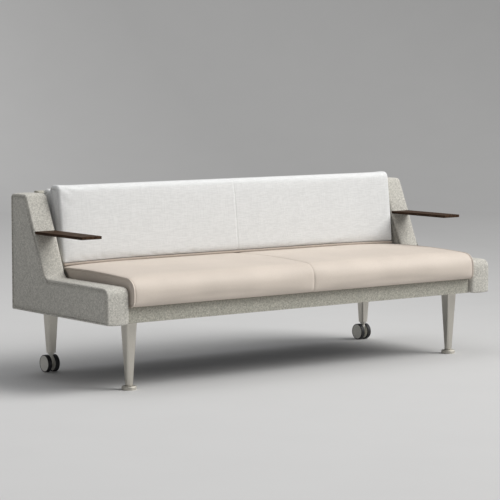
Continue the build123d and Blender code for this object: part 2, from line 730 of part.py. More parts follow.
def make_back_board():
    """Plywood inside the back rest, which stands on the rear beam."""
    half = INNER_HALF - BACK_BOARD_MARGIN
    with BuildPart() as board:
        depth = (BEAM_END_Y - BACK_BOARD_THICKNESS, BEAM_END_Y)
        slab((-half, half), depth, (BEAM_Z, BOX_Z + BACK_BOARD_RISE))
        with Locations(*((x, y, BEAM_Z) for x, y in back_screw_places())):
            Cylinder(
                BACK_SCREW_RADIUS + HOLE_FIT,
                BACK_SCREW_BITE + FIT,
                align=(Align.CENTER, Align.CENTER, Align.MIN),
                mode=Mode.SUBTRACT,
            )
    board.part.label = "back_board"
    export_step(board.part, "parts/back_board.step")


def make_back_screws():
    """Screws from under the rear beam up into the back board."""
    with BuildPart() as screws:
        with Locations(*((x, y, BOX_Z) for x, y in back_screw_places())):
            Cylinder(
                BACK_SCREW_RADIUS,
                BEAM_RISE + BACK_SCREW_BITE,
                align=(Align.CENTER, Align.CENTER, Align.MIN),
            )
            Cylinder(
                BACK_SCREW_HEAD_RADIUS,
                BACK_SCREW_HEAD_HEIGHT,
                align=(Align.CENTER, Align.CENTER, Align.MIN),
            )
    screws.part.label = "back_screws"
    export_step(screws.part, "parts/back_screws.step")


def crown_drop(x, half_length):
    """Give how much lower the cushion's top lies towards its ends."""
    start = half_length * CROWN_START_SHARE
    return CUSHION_END_DROP * max(0.0, (abs(x) - start) / (half_length - start)) ** 2


def cushion_top(y):
    """Give the height of the cushion's crown at one depth."""
    rear = CUSHION_REAR_Y - CUSHION_HEEL_RADIUS
    front = CUSHION_FRONT_Y + CUSHION_NOSE_RADIUS
    share = (y - front) / (rear - front)
    chord = CUSHION_FRONT_RISE + (CUSHION_REAR_RISE - CUSHION_FRONT_RISE) * share
    return BOX_Z + chord + CUSHION_CROWN * 4 * share * (1 - share)


def make_seat_cushion():
    """Seat cushion with a crown, a rolled front, drawn-in ends and a sewn seam at its middle."""
    half_length = INNER_HALF - CUSHION_SIDE_GAP
    stations = soft_stations(half_length, CUSHION_END_RADIUS, CUSHION_SEAM_WIDTH, CUSHION_SEAM_DEPTH)
    with BuildPart() as cushion:
        for x, draw in stations:
            front = CUSHION_FRONT_Y + draw
            rear = CUSHION_REAR_Y - draw
            lower = draw + crown_drop(x, half_length)
            front_top = BOX_Z + CUSHION_FRONT_RISE - lower
            rear_top = BOX_Z + CUSHION_REAR_RISE - lower
            with BuildSketch(Plane.YZ.offset(x)):
                with BuildLine():
                    rounded_outline(
                        [
                            (front, DECK_Z, CUSHION_FOOT_RADIUS, 0.0),
                            (rear, DECK_Z, CUSHION_FOOT_RADIUS, 0.0),
                            (rear, rear_top, CUSHION_HEEL_RADIUS, CUSHION_CROWN),
                            (front, front_top, CUSHION_NOSE_RADIUS, 0.0),
                        ]
                    )
                make_face()
        loft(ruled=True)
    cushion.part.label = "seat_cushion"
    export_step(cushion.part, "parts/seat_cushion.step")


STRIP_Z = cushion_top(FRONT_PAD_Y) + SOFT_GAP
PAD_Z = STRIP_Z + STRIP_THICKNESS


def make_front_pad():
    """Thick front half of the folded mattress, which folds forward over the seat."""
    bottom = PAD_Z + FIT
    top = bottom + FRONT_PAD_HEIGHT
    rear_pad_lean = REAR_PAD_LEAN + REAR_PAD_FOOT_DEPTH - REAR_PAD_TOP_DEPTH
    lean = rear_pad_lean * FRONT_PAD_HEIGHT / REAR_PAD_HEIGHT
    seam = (MATTRESS_SEAM_WIDTH, MATTRESS_SEAM_DEPTH)
    with BuildPart() as pad:
        for x, draw in soft_stations(MATTRESS_HALF, MATTRESS_END_RADIUS, *seam):
            front = FRONT_PAD_Y + draw
            rear = PAD_JOIN_Y - PAD_GAP - draw
            rear_top = rear + lean
            front_top = rear_top + draw * 2 - FRONT_PAD_TOP_DEPTH
            with BuildSketch(Plane.YZ.offset(x)):
                with BuildLine():
                    rounded_outline(
                        [
                            (front, bottom, FRONT_PAD_FOOT_RADIUS, 0.0),
                            (rear, bottom, FRONT_PAD_HEEL_RADIUS, 0.0),
                            (rear_top, top - draw, FRONT_PAD_TOP_RADIUS - draw / 2, 0.0),
                            (front_top, top - draw, FRONT_PAD_TOP_RADIUS - draw / 2, FRONT_PAD_CROWN),
                        ]
                    )
                make_face()
        loft(ruled=True)
    pad.part.label = "front_pad"
    export_step(pad.part, "parts/front_pad.step")


def make_rear_pad():
    """Thin rear half of the folded mattress, which leans on the back rest."""
    stations = soft_stations(MATTRESS_HALF, MATTRESS_END_RADIUS, MATTRESS_SEAM_WIDTH, 0.0)
    with BuildPart() as pad:
        for x, draw in stations:
            front = PAD_JOIN_Y + draw
            rear = REAR_PAD_FOOT_Y - draw / 2
            rear_top = rear + REAR_PAD_LEAN
            front_top = REAR_PAD_FOOT_Y + REAR_PAD_LEAN - REAR_PAD_TOP_DEPTH + draw
            top = PAD_Z + REAR_PAD_HEIGHT - draw
            with BuildSketch(Plane.YZ.offset(x)):
                with BuildLine():
                    rounded_outline(
                        [
                            (front, PAD_Z, REAR_PAD_FOOT_RADIUS, 0.0),
                            (rear, PAD_Z, REAR_PAD_FOOT_RADIUS, 0.0),
                            (rear_top, top, REAR_PAD_TOP_RADIUS - draw / 2, 0.0),
                            (front_top, top, REAR_PAD_TOP_RADIUS - draw / 2, 0.0),
                        ]
                    )
                make_face()
        loft(ruled=True)
    pad.part.label = "rear_pad"
    export_step(pad.part, "parts/rear_pad.step")


def make_spine_strip():
    """Sewn strip that joins both halves of the mattress along the bottom."""
    half = MATTRESS_HALF - STRIP_MARGIN
    with BuildPart() as strip:
        slab((-half, half), (FRONT_PAD_Y, REAR_PAD_FOOT_Y), (STRIP_Z, PAD_Z))
        fillet(strip.edges().filter_by(Axis.X), STRIP_EDGE_RADIUS)
    strip.part.label = "spine_strip"
    export_step(strip.part, "parts/spine_strip.step")


def strap_places():
    """Give the X of each strap by its name."""
    return {"left": -STRAP_PITCH, "middle": 0.0, "right": STRAP_PITCH}


def strap_foot_z():
    """Give the height where a strap ends inside its clamp."""
    return CLAMP_Z + CLAMP_HEIGHT - STRAP_GRIP


def make_strap(name, x):
    """Elastic strap from the mattress down to the clamp of its hook."""
    half = STRAP_WIDTH / 2
    with BuildPart() as strap:
        slab((x - half, x + half), (STRAP_Y, STRAP_Y + STRAP_THICKNESS), (strap_foot_z(), STRIP_Z))
    strap.part.label = name
    export_step(strap.part, f"parts/{name}.step")


def make_strap_hook(name, x):
    """Wire hook round the rod, with the clamp that grips the strap's end."""
    half = STRAP_WIDTH / 2
    with BuildPart() as hook:
        clamp_span = (x - half - CLAMP_WALL, x + half + CLAMP_WALL)
        clamp_depth = (STRAP_Y - CLAMP_WALL, STRAP_Y + STRAP_THICKNESS + CLAMP_WALL)
        slab(clamp_span, clamp_depth, (CLAMP_Z, CLAMP_Z + CLAMP_HEIGHT))
        slot_span = (x - half - HOLE_FIT, x + half + HOLE_FIT)
        slot_depth = (STRAP_Y - HOLE_FIT, STRAP_Y + STRAP_THICKNESS + HOLE_FIT)
        slot_height = (strap_foot_z() - HOLE_FIT, CLAMP_Z + CLAMP_HEIGHT + CUT_OVERRUN)
        slab(slot_span, slot_depth, slot_height, Mode.SUBTRACT)
        with BuildLine(Plane.YZ.offset(x)) as wire:
            Line((HOOK_Y, CLAMP_Z), (HOOK_Y, ROD_Z))
            CenterArc((ROD_Y, ROD_Z), HOOK_RADIUS, 180, 180)
            Line((ROD_Y + HOOK_RADIUS, ROD_Z), (ROD_Y + HOOK_RADIUS, ROD_Z + HOOK_TIP))
        with BuildSketch(Plane.XY.offset(CLAMP_Z)):
            with Locations((x, HOOK_Y)):
                Circle(WIRE_RADIUS)
        sweep(path=wire.line)
    hook.part.label = name
    export_step(hook.part, f"parts/{name}.step")


def make_strap_rod():
    """Steel rod between the rear blocks, which the strap hooks catch."""
    half = BOARD_X - SIDE_BEAM_WIDTH - REAR_BLOCK_WIDTH + ROD_BEARING
    with BuildPart() as rod:
        with BuildSketch(Plane.YZ.offset(-half)):
            with Locations((ROD_Y, ROD_Z)):
                Circle(ROD_RADIUS)
        extrude(amount=half * 2)
    rod.part.label = "strap_rod"
    export_step(rod.part, "parts/strap_rod.step")


def make_leg_plate(name, side, end):
    """Steel plate between a leg and the seat frame."""
    x, y = plate_centre(side, end)
    with BuildPart() as plate:
        with Locations((x, y, PLATE_Z)):
            Box(
                LEG_PLATE_SIZE,
                LEG_PLATE_SIZE,
                LEG_PLATE_THICKNESS,
                align=(Align.CENTER, Align.CENTER, Align.MIN),
            )
        with BuildSketch(Plane.XY.offset(PLATE_Z)):
            with Locations(*plate_screw_places(side, end)):
                Circle(PLATE_SCREW_RADIUS + HOLE_FIT)
            with Locations(leg_place(side, end)):
                Circle(STUD_RADIUS + HOLE_FIT)
        extrude(amount=LEG_PLATE_THICKNESS, mode=Mode.SUBTRACT)
    plate.part.label = name
    export_step(plate.part, f"parts/{name}.step")


def make_leg(name, side, end):
    """Tapered leg, square at its plate and nearly round at its foot."""
    foot_z = LEG_FOOT_HEIGHT if end < 0 else CASTER_HEIGHT
    share = (PLATE_Z - foot_z) / (PLATE_Z - LEG_FOOT_HEIGHT)
    foot_width = LEG_TOP_WIDTH + (LEG_FOOT_WIDTH - LEG_TOP_WIDTH) * share
    foot_radius = LEG_TOP_RADIUS + (LEG_FOOT_RADIUS - LEG_TOP_RADIUS) * share
    bore_radius = GLIDE_STEM_RADIUS if end < 0 else CASTER_STEM_RADIUS
    bore_depth = GLIDE_STEM_LENGTH + GLIDE_BORE_MARGIN if end < 0 else CASTER_STEM_LENGTH + FIT
    with BuildPart() as leg:
        with BuildSketch(Plane.XY.offset(foot_z)):
            with Locations(leg_place(side, end)):
                RectangleRounded(foot_width, foot_width, foot_radius)
        with BuildSketch(Plane.XY.offset(PLATE_Z)):
            with Locations(leg_place(side, end)):
                RectangleRounded(LEG_TOP_WIDTH, LEG_TOP_WIDTH, LEG_TOP_RADIUS)
        loft()
        with BuildSketch(Plane.XY.offset(foot_z)):
            with Locations(leg_place(side, end)):
                Circle(bore_radius + HOLE_FIT)
        extrude(amount=bore_depth, mode=Mode.SUBTRACT)
        with BuildSketch(Plane.XY.offset(PLATE_Z)):
            with Locations(leg_place(side, end)):
                Circle(STUD_RADIUS + HOLE_FIT)
        extrude(amount=-STUD_LENGTH, mode=Mode.SUBTRACT)
    leg.part.label = name
    export_step(leg.part, f"parts/{name}.step")


def make_leg_screws():
    """Studs that hold the legs on their plates, and the screws of the plates."""
    legs = [leg_place(side, end) for side in SIDES.values() for end in (-1, 1)]
    with BuildPart() as screws:
        with BuildSketch(Plane.XY.offset(BOX_Z - STUD_LENGTH)):
            with Locations(*legs):
                Circle(STUD_RADIUS)
        extrude(amount=STUD_LENGTH)
        with BuildSketch(Plane.XY.offset(PLATE_Z)):
            with Locations(*all_plate_screw_places()):
                Circle(PLATE_SCREW_RADIUS)
        extrude(amount=LEG_PLATE_THICKNESS + PLATE_SCREW_BITE)
        with BuildSketch(Plane.XY.offset(PLATE_Z - PLATE_SCREW_HEAD_HEIGHT)):
            with Locations(*all_plate_screw_places()):
                Circle(PLATE_SCREW_HEAD_RADIUS)
        extrude(amount=PLATE_SCREW_HEAD_HEIGHT)
    screws.part.label = "leg_screws"
    export_step(screws.part, "parts/leg_screws.step")


def make_glide(name, side):
    """Levelling glide: a disc foot on a threaded stem that screws into a front leg."""
    with BuildPart() as glide:
        with BuildSketch(Plane.XY):
            with Locations(leg_place(side, -1)):
                Circle(GLIDE_RADIUS)
        extrude(amount=GLIDE_HEIGHT)
        fillet(glide.edges().group_by(Axis.Z)[-1], GLIDE_EDGE_RADIUS)
        with BuildSketch(Plane.XY.offset(GLIDE_HEIGHT)):
            with Locations(leg_place(side, -1)):
                Circle(GLIDE_STEM_RADIUS)
        extrude(amount=GLIDE_STEM_LENGTH)
    glide.part.label = name
    export_step(glide.part, f"parts/{name}.step")


def make_caster_body(name, side):
    """Bottle-shaped body between the two wheels of a caster."""
    x = side * LEG_X
    collar_z = CASTER_HEIGHT - WASHER_HEIGHT - FIT - COLLAR_HEIGHT
    with BuildPart() as body:
        with BuildSketch(Plane.YZ.offset(x - NECK_HALF_WIDTH)):
            with Locations((AXLE_Y, WHEEL_RADIUS)):
                Circle(KNUCKLE_RADIUS)
            with Locations((REAR_LEG_Y, NECK_SHOULDER_HEIGHT - NECK_HALF_WIDTH)):
                Circle(NECK_HALF_WIDTH)
            make_hull()
        extrude(amount=NECK_HALF_WIDTH * 2)
        with BuildSketch(Plane.XY.offset(NECK_SHOULDER_HEIGHT - NECK_HALF_WIDTH)):
            with Locations((x, REAR_LEG_Y)):
                Circle(NECK_HALF_WIDTH)
        extrude(amount=collar_z + NECK_HALF_WIDTH - NECK_SHOULDER_HEIGHT)
        with BuildSketch(Plane.XY.offset(collar_z)):
            with Locations((x, REAR_LEG_Y)):
                Circle(COLLAR_RADIUS)
        extrude(amount=COLLAR_HEIGHT)
        with BuildSketch(Plane.XY.offset(collar_z + COLLAR_HEIGHT)):
            with Locations((x, REAR_LEG_Y)):
                Circle(CASTER_STEM_RADIUS + HOLE_FIT)
        extrude(amount=-CASTER_STEM_ROOT - FIT, mode=Mode.SUBTRACT)
        with BuildSketch(Plane.YZ.offset(x - NECK_HALF_WIDTH)):
            with Locations((AXLE_Y, WHEEL_RADIUS)):
                Circle(AXLE_RADIUS + HOLE_FIT)
        extrude(amount=NECK_HALF_WIDTH * 2, mode=Mode.SUBTRACT)
    body.part.label = name
    export_step(body.part, f"parts/{name}.step")


def make_caster_pins(name, side):
    """Swivel stem with its washer, and the wheel axle, of one caster."""
    x = side * LEG_X
    stem_z = CASTER_HEIGHT - WASHER_HEIGHT - FIT
    with BuildPart() as pins:
        with BuildSketch(Plane.XY.offset(stem_z - CASTER_STEM_ROOT)):
            with Locations((x, REAR_LEG_Y)):
                Circle(CASTER_STEM_RADIUS)
        extrude(amount=CASTER_STEM_ROOT + WASHER_HEIGHT + FIT + CASTER_STEM_LENGTH)
        with BuildSketch(Plane.XY.offset(stem_z)):
            with Locations((x, REAR_LEG_Y)):
                Circle(WASHER_RADIUS)
        extrude(amount=WASHER_HEIGHT)
        with BuildSketch(Plane.YZ.offset(x - AXLE_HALF_LENGTH)):
            with Locations((AXLE_Y, WHEEL_RADIUS)):
                Circle(AXLE_RADIUS)
        extrude(amount=AXLE_HALF_LENGTH * 2)
    pins.part.label = name
    export_step(pins.part, f"parts/{name}.step")


def make_hub(name, x, outward):
    """Wheel core with a blind bore for the axle and a plain disc that nearly covers the tyre's side."""
    inner_x = x + outward * (WHEEL_GAP / 2 + HUB_INSET)
    bore_depth = AXLE_HALF_LENGTH + FIT - WHEEL_GAP / 2 - HUB_INSET
    with BuildPart() as hub:
        with BuildSketch(Plane.YZ.offset(inner_x)):
            with Locations((AXLE_Y, WHEEL_RADIUS)):
                Circle(WHEEL_RADIUS - TYRE_DEPTH)
        extrude(amount=outward * HUB_WIDTH)
        with BuildSketch(Plane.YZ.offset(inner_x + outward * (HUB_WIDTH - DISC_THICKNESS))):
            with Locations((AXLE_Y, WHEEL_RADIUS)):
                Circle(WHEEL_RADIUS - DISC_MARGIN)
        extrude(amount=outward * DISC_THICKNESS)
        outer_face = hub.faces().sort_by(Axis.X)[-1 if outward > 0 else 0]
        fillet(outer_face.edges(), DISC_EDGE_RADIUS)
        with BuildSketch(Plane.YZ.offset(inner_x)):
            with Locations((AXLE_Y, WHEEL_RADIUS)):
                Circle(AXLE_RADIUS + HOLE_FIT)
        extrude(amount=outward * bore_depth, mode=Mode.SUBTRACT)
    hub.part.label = name
    export_step(hub.part, f"parts/{name}.step")


def make_tyre(name, x, outward):
    """Tyre round a wheel core, with a rebate for the disc in its outer side."""
    inner_x = x + outward * WHEEL_GAP / 2
    rebate_x = inner_x + outward * (HUB_INSET + HUB_WIDTH - DISC_THICKNESS - HOLE_FIT)
    with BuildPart() as tyre:
        with BuildSketch(Plane.YZ.offset(inner_x)):
            with Locations((AXLE_Y, WHEEL_RADIUS)):
                Circle(WHEEL_RADIUS)
        extrude(amount=outward * WHEEL_WIDTH)
        fillet(tyre.edges(), TYRE_EDGE_RADIUS)
        with BuildSketch(Plane.YZ.offset(inner_x)):
            with Locations((AXLE_Y, WHEEL_RADIUS)):
                Circle(WHEEL_RADIUS - TYRE_DEPTH + HOLE_FIT)
        extrude(amount=outward * WHEEL_WIDTH, mode=Mode.SUBTRACT)
        with BuildSketch(Plane.YZ.offset(rebate_x)):
            with Locations((AXLE_Y, WHEEL_RADIUS)):
                Circle(WHEEL_RADIUS - DISC_MARGIN + HOLE_FIT)
        extrude(amount=outward * WHEEL_WIDTH, mode=Mode.SUBTRACT)
    tyre.part.label = name
    export_step(tyre.part, f"parts/{name}.step")


def make_side_pieces(label, side):
    """Make every piece that both sides of the sofa have."""
    make_arm_cover(f"{label}_arm_cover", side)
    make_arm_board(f"{label}_arm_board", side)
    make_arm_cap(f"{label}_arm_cap", side)
    make_cap_bracket(f"{label}_cap_bracket", side)
    make_side_beam(f"{label}_side_beam", side)
    make_rear_block(f"{label}_rear_block", side)
    for end_label, end in (("front", -1), ("rear", 1)):
        make_leg_plate(f"{end_label}_{label}_leg_plate", side, end)
        make_leg(f"{end_label}_{label}_leg", side, end)
    make_glide(f"{label}_glide", side)
    make_caster_body(f"{label}_caster_body", side)
    make_caster_pins(f"{label}_caster_pins", side)
    for wheel_label, outward in (("outer", side), ("inner", -side)):
        make_hub(f"{label}_{wheel_label}_hub", side * LEG_X, outward)
        make_tyre(f"{label}_{wheel_label}_tyre", side * LEG_X, outward)


def make_strap_pieces():
    """Make the three straps and their hooks."""
    for label, x in strap_places().items():
        make_strap(f"{label}_strap", x)
        make_strap_hook(f"{label}_strap_hook", x)


def make_all():
    """Make every piece of the sofa bed."""
    os.makedirs("parts", exist_ok=True)
    for label, side in SIDES.items():
        make_side_pieces(label, side)
    make_cap_screws()
    make_front_rail()
    make_front_beam()
    make_rear_beam()
    make_deck_beam()
    make_centre_beam()
    make_seat_deck()
    make_dust_cloth()
    make_arm_bolts()
    make_back_cover()
    make_back_board()
    make_back_panel()
    make_back_screws()
    make_seat_cushion()
    make_front_pad()
    make_rear_pad()
    make_spine_strip()
    make_strap_pieces()
    make_strap_rod()
    make_leg_screws()


make_all()
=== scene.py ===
# %% [markdown]
# A sofa bed, dressed for its portrait
#
# The sofa is a low padded shell with thin walnut arm caps, one long seat cushion, and a mattress folded
# like a book that serves as the back cushion. The measured model comes in as a fixed frame. Everything
# soft is made again here in finer meshes around it, because foam and cloth need round edges, seams and
# a little swelling that a measured solid leaves out. Hard pieces keep their measured shape and get
# finishes of wood, metal, rubber and plastic.

# %% Load the frame and keep its outer size
import math

import bpy
import numpy as np
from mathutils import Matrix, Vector
from mathutils.geometry import tessellate_polygon


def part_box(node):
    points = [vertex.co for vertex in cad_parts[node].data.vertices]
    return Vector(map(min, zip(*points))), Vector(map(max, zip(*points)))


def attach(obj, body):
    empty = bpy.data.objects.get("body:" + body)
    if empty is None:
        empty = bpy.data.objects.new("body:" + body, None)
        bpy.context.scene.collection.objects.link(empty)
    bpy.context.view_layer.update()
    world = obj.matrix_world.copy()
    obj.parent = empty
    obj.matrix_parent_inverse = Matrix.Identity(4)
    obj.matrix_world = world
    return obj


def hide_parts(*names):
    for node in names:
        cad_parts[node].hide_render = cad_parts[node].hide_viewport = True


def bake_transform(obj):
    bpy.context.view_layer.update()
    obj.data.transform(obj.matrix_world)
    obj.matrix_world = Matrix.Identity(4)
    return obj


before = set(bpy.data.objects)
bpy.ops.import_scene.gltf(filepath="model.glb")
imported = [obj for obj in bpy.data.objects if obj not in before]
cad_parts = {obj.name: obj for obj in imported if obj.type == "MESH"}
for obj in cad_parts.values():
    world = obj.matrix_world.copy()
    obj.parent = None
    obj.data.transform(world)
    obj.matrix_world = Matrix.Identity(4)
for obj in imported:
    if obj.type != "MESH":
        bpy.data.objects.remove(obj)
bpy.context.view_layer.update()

# %% [markdown]
# The camera
#
# It stands low in front of the left arm, far away, behind a long lens, so the sofa's long lines hardly
# run together. Its place was worked out from the corners of the shell. A constraint could also aim the
# camera at the sofa, but two plain angles are easier to read.

# %% Put the camera in place
CAMERA_PLACE = (-5.5395, -7.2656, 1.342)
CAMERA_TURN = 37.04
CAMERA_TILT = 5.22
CAMERA_LENS = 148.46
CAMERA_SENSOR = 36.0

camera_data = bpy.data.cameras.new("portrait_camera")
camera_data.lens = CAMERA_LENS
camera_data.sensor_width = CAMERA_SENSOR
camera = bpy.data.objects.new("portrait_camera", camera_data)
camera.location = CAMERA_PLACE
camera.rotation_euler = (math.radians(90 - CAMERA_TILT), 0, math.radians(-CAMERA_TURN))
bpy.context.collection.objects.link(camera)
bpy.context.scene.camera = camera
print("camera at", CAMERA_PLACE, "with a", CAMERA_LENS, "mm lens")

# %% [markdown]
# Small tools for finishes
#
# A finish is a graph of texture nodes. Most of them start from the same step: take the place of a point
# on the piece, stretch it, read a noise there, and turn the noise into a tone or a height. Those steps
# are short functions here, so each finish below reads like a recipe.

# %% Open a finish and read a texture
BANDS_PER_SCALE = 20 / (2 * math.pi)


def start_finish(name, colour, roughness, **sockets):
    """Open a finish and set what is the same all over the piece."""
    finish = bpy.data.materials.new(name)
    finish.use_nodes = True
    tree = finish.node_tree
    shader = tree.nodes["Principled BSDF"]
    shader.inputs["Base Color"].default_value = (*colour, 1.0)
    shader.inputs["Roughness"].default_value = roughness
    for socket, value in sockets.items():
        shader.inputs[socket.replace("_", " ")].default_value = value
    return finish, tree, shader


def put(tree, kind, **values):
    """Add a node and fill in its inputs by name."""
    node = tree.nodes.new(kind)
    for socket, value in values.items():
        node.inputs[socket.replace("_", " ")].default_value = value
    return node


def stretched_place(tree, stretch):
    """Give the place of a point on the piece, in metres, stretched along each axis."""
    place = tree.nodes.new("ShaderNodeTexCoord")
    mapping = put(tree, "ShaderNodeMapping", Scale=stretch)
    tree.links.new(place.outputs["Object"], mapping.inputs["Vector"])
    return mapping.outputs["Vector"]


def noise_at(tree, grains_per_metre, stretch=(1, 1, 1), detail=3.0):
    """Read a noise with a given number of grains in a metre."""
    noise = put(tree, "ShaderNodeTexNoise", Scale=grains_per_metre, Detail=detail)
    tree.links.new(stretched_place(tree, stretch), noise.inputs["Vector"])
    return noise.outputs["Fac"]


def bands_at(tree, bands_per_metre, stretch, distortion=0.0):
    """Read even bands, such as threads or layers, that follow the stretched X axis."""
    wave = put(tree, "ShaderNodeTexWave", Scale=bands_per_metre / BANDS_PER_SCALE, Distortion=distortion)
    tree.links.new(stretched_place(tree, stretch), wave.inputs["Vector"])
    return wave.outputs["Fac"]


print("a wave of scale 1 has", round(BANDS_PER_SCALE, 2), "bands in a metre")

# %% Turn a texture into tones and relief
def tones(tree, value, stops):
    """Turn a value into a colour between stops of (value, colour)."""
    ramp = tree.nodes.new("ShaderNodeValToRGB")
    marks = ramp.color_ramp.elements
    while len(marks) < len(stops):
        marks.new(0.5)
    for mark, (position, colour) in zip(marks, stops):
        mark.position = position
        mark.color = (*colour, 1.0)
    tree.links.new(value, ramp.inputs["Fac"])
    return ramp.outputs["Color"]


def combine(tree, kind, first, second):
    """Do a sum, product or other step on two values."""
    node = tree.nodes.new("ShaderNodeMath")
    node.operation = kind
    for socket, value in zip(node.inputs, (first, second)):
        if isinstance(value, float):
            socket.default_value = value
        else:
            tree.links.new(value, socket)
    return node.outputs["Value"]


def tint(tree, first, second):
    """Multiply two colours."""
    mix = tree.nodes.new("ShaderNodeMix")
    mix.data_type = "RGBA"
    mix.blend_type = "MULTIPLY"
    mix.inputs["Factor"].default_value = 1.0
    tree.links.new(first, mix.inputs["A"])
    tree.links.new(second, mix.inputs["B"])
    return mix.outputs["Result"]


def emboss(tree, shader, height, depth, strength):
    """Give the surface a relief of a given depth in metres."""
    bump = put(tree, "ShaderNodeBump", Strength=strength, Distance=depth)
    tree.links.new(height, bump.inputs["Height"])
    tree.links.new(bump.outputs["Normal"], shader.inputs["Normal"])


def shades(colour, dark, light):
    """Give a darker and a lighter shade of a colour."""
    return tuple(c * dark for c in colour), tuple(c * light for c in colour)


print("a darker and a lighter shade of mid grey:", shades((0.5, 0.5, 0.5), 0.9, 1.1))

# %% [markdown]
# Upholstery cloths
#
# The arms wear a soft felt whose fibres mottle it at the size of a grain of rice. The back border and
# the rail under the seat wear a coarser cloth, flecked with pale and olive threads. A photograph of
# cloth would show both at once, but a noise at two sizes, tinted and embossed, keeps the same look from
# any distance and on any form.

# %% Felt of the arms and flecked cloth of the back
FELT_COLOUR = (0.535, 0.52, 0.477)
FLECK_COLOUR = (0.435, 0.423, 0.368)
SPECKS = ((0.38, (0.74, 0.74, 0.72)), (0.52, (1, 1, 1)), (0.66, (1.1, 1.1, 1.08)))


def felted(name, colour, patch, fleck, contrast, depth):
    """Mottled cloth: soft patches, fine flecks and a fibrous relief."""
    finish, tree, shader = start_finish(name, colour, 0.95, Sheen_Weight=0.12, Sheen_Roughness=0.6)
    low, high = shades(colour, 1 - contrast, 1 + contrast)
    patches = tones(tree, noise_at(tree, patch, detail=5.0), [(0.36, low), (0.64, high)])
    flecks = noise_at(tree, fleck, detail=2.0)
    tree.links.new(tint(tree, patches, tones(tree, flecks, SPECKS)), shader.inputs["Base Color"])
    fibres = combine(tree, "ADD", flecks, noise_at(tree, fleck * 3, detail=1.0))
    emboss(tree, shader, fibres, depth, 0.7)
    return finish


FELT = felted("arm_felt", FELT_COLOUR, patch=130.0, fleck=300.0, contrast=0.16, depth=0.0014)
FLECKED = felted("flecked_cloth", FLECK_COLOUR, patch=150.0, fleck=280.0, contrast=0.19, depth=0.0015)
print("cloths:", FELT.name, FLECKED.name)

# %% [markdown]
# Smooth coated cloths
#
# The seat and the panel behind the mattress wear a wipeable coated cloth. It has a satin sheen, a very
# fine grain and hardly any change of tone. Too much relief would make it look like leather, so the
# grain is less than half a millimetre deep and only half strong.

# %% Coated cloth of the seat and of the back panel
SEAT_COLOUR = (0.618, 0.546, 0.478)
PANEL_COLOUR = (0.125, 0.122, 0.118)
COATED_SHINE = 0.35
COATED_RELIEF = 0.0004


def coated(name, colour, roughness, thread_tone):
    """Satin coated cloth with a fine pressed grain over faint threads."""
    sockets = {"Sheen_Weight": 0.06, "Specular_IOR_Level": COATED_SHINE}
    finish, tree, shader = start_finish(name, colour, roughness, **sockets)
    low, high = shades(colour, 0.965, 1.03)
    clouds = tones(tree, noise_at(tree, 5.0, detail=2.0), [(0.35, low), (0.65, high)])
    across = noise_at(tree, 90.0, (1, 9, 9), 2.0)
    along = noise_at(tree, 90.0, (9, 1, 1), 2.0)
    threads = combine(tree, "MULTIPLY", across, along)
    grain = tones(tree, threads, [(0.16, (thread_tone,) * 3), (0.34, (1.0, 1.0, 1.0))])
    tree.links.new(tint(tree, clouds, grain), shader.inputs["Base Color"])
    relief = combine(tree, "ADD", threads, noise_at(tree, 1400.0, detail=1.0))
    emboss(tree, shader, relief, COATED_RELIEF, 0.5)
    return finish


SEAT_CLOTH = coated("seat_coated_cloth", SEAT_COLOUR, roughness=0.62, thread_tone=0.95)
PANEL_CLOTH = coated("panel_coated_cloth", PANEL_COLOUR, roughness=0.55, thread_tone=0.90)
print("coated cloths:", SEAT_CLOTH.name, PANEL_CLOTH.name)

# %% [markdown]
# Linen, tan strip, webbing and dust cloth
#
# The mattress wears an off-white linen: soft slubs run through it lengthwise, and weaker ones upward and
# to the rear. The strip along its spine is a tan twill, the straps are ribbed elastic, and the cloth
# under the seat is a black fleece. Threads are bands read along X and along the other two axes together,
# so that they cross on every face without any unwrapping.

# %% Woven finishes
LINEN_COLOUR = (0.75, 0.758, 0.757)
TWILL_COLOUR = (0.47, 0.405, 0.35)
ELASTIC_COLOUR = (0.018, 0.018, 0.018)
FLEECE_COLOUR = (0.022, 0.022, 0.023)
THREAD_COLOUR = (0.42, 0.40, 0.36)
LONG_SHARE, CROSS_SHARE = 0.6, 0.4
WEAVE_DEPTH = 0.0004


def woven(name, colour, threads_per_metre, slub, tone, roughness=0.9):
    """Plain weave with slubs that run both ways."""
    finish, tree, shader = start_finish(name, colour, roughness, Sheen_Weight=0.04, Sheen_Roughness=0.5)
    low, high = shades(colour, 1 - tone, 1 + tone / 2)
    long_slubs = combine(tree, "MULTIPLY", noise_at(tree, slub, (1, 9, 9), 2.0), LONG_SHARE)
    cross_slubs = combine(tree, "MULTIPLY", noise_at(tree, slub, (9, 1, 1), 2.0), CROSS_SHARE)
    slubs = combine(tree, "ADD", long_slubs, cross_slubs)
    tree.links.new(tones(tree, slubs, [(0.40, low), (0.60, high)]), shader.inputs["Base Color"])
    warp = bands_at(tree, threads_per_metre, (1, 0, 0), 0.4)
    weft = bands_at(tree, threads_per_metre, (0, 1, 1), 0.4)
    weave = combine(tree, "ADD", combine(tree, "MAXIMUM", warp, weft), slubs)
    emboss(tree, shader, weave, WEAVE_DEPTH, 0.5)
    return finish


LINEN = woven("mattress_linen", LINEN_COLOUR, threads_per_metre=950.0, slub=30.0, tone=0.07)
TWILL = woven("strip_twill", TWILL_COLOUR, threads_per_metre=700.0, slub=60.0, tone=0.12)
WEBBING = woven("strap_webbing", ELASTIC_COLOUR, threads_per_metre=640.0, slub=60.0, tone=0.3, roughness=0.75)
FLEECE = felted("dust_fleece", FLEECE_COLOUR, patch=60.0, fleck=300.0, contrast=0.2, depth=0.0006)
THREAD = woven("seam_thread", THREAD_COLOUR, threads_per_metre=900.0, slub=90.0, tone=0.1)
print("woven finishes:", LINEN.name, TWILL.name, WEBBING.name, FLEECE.name, THREAD.name)

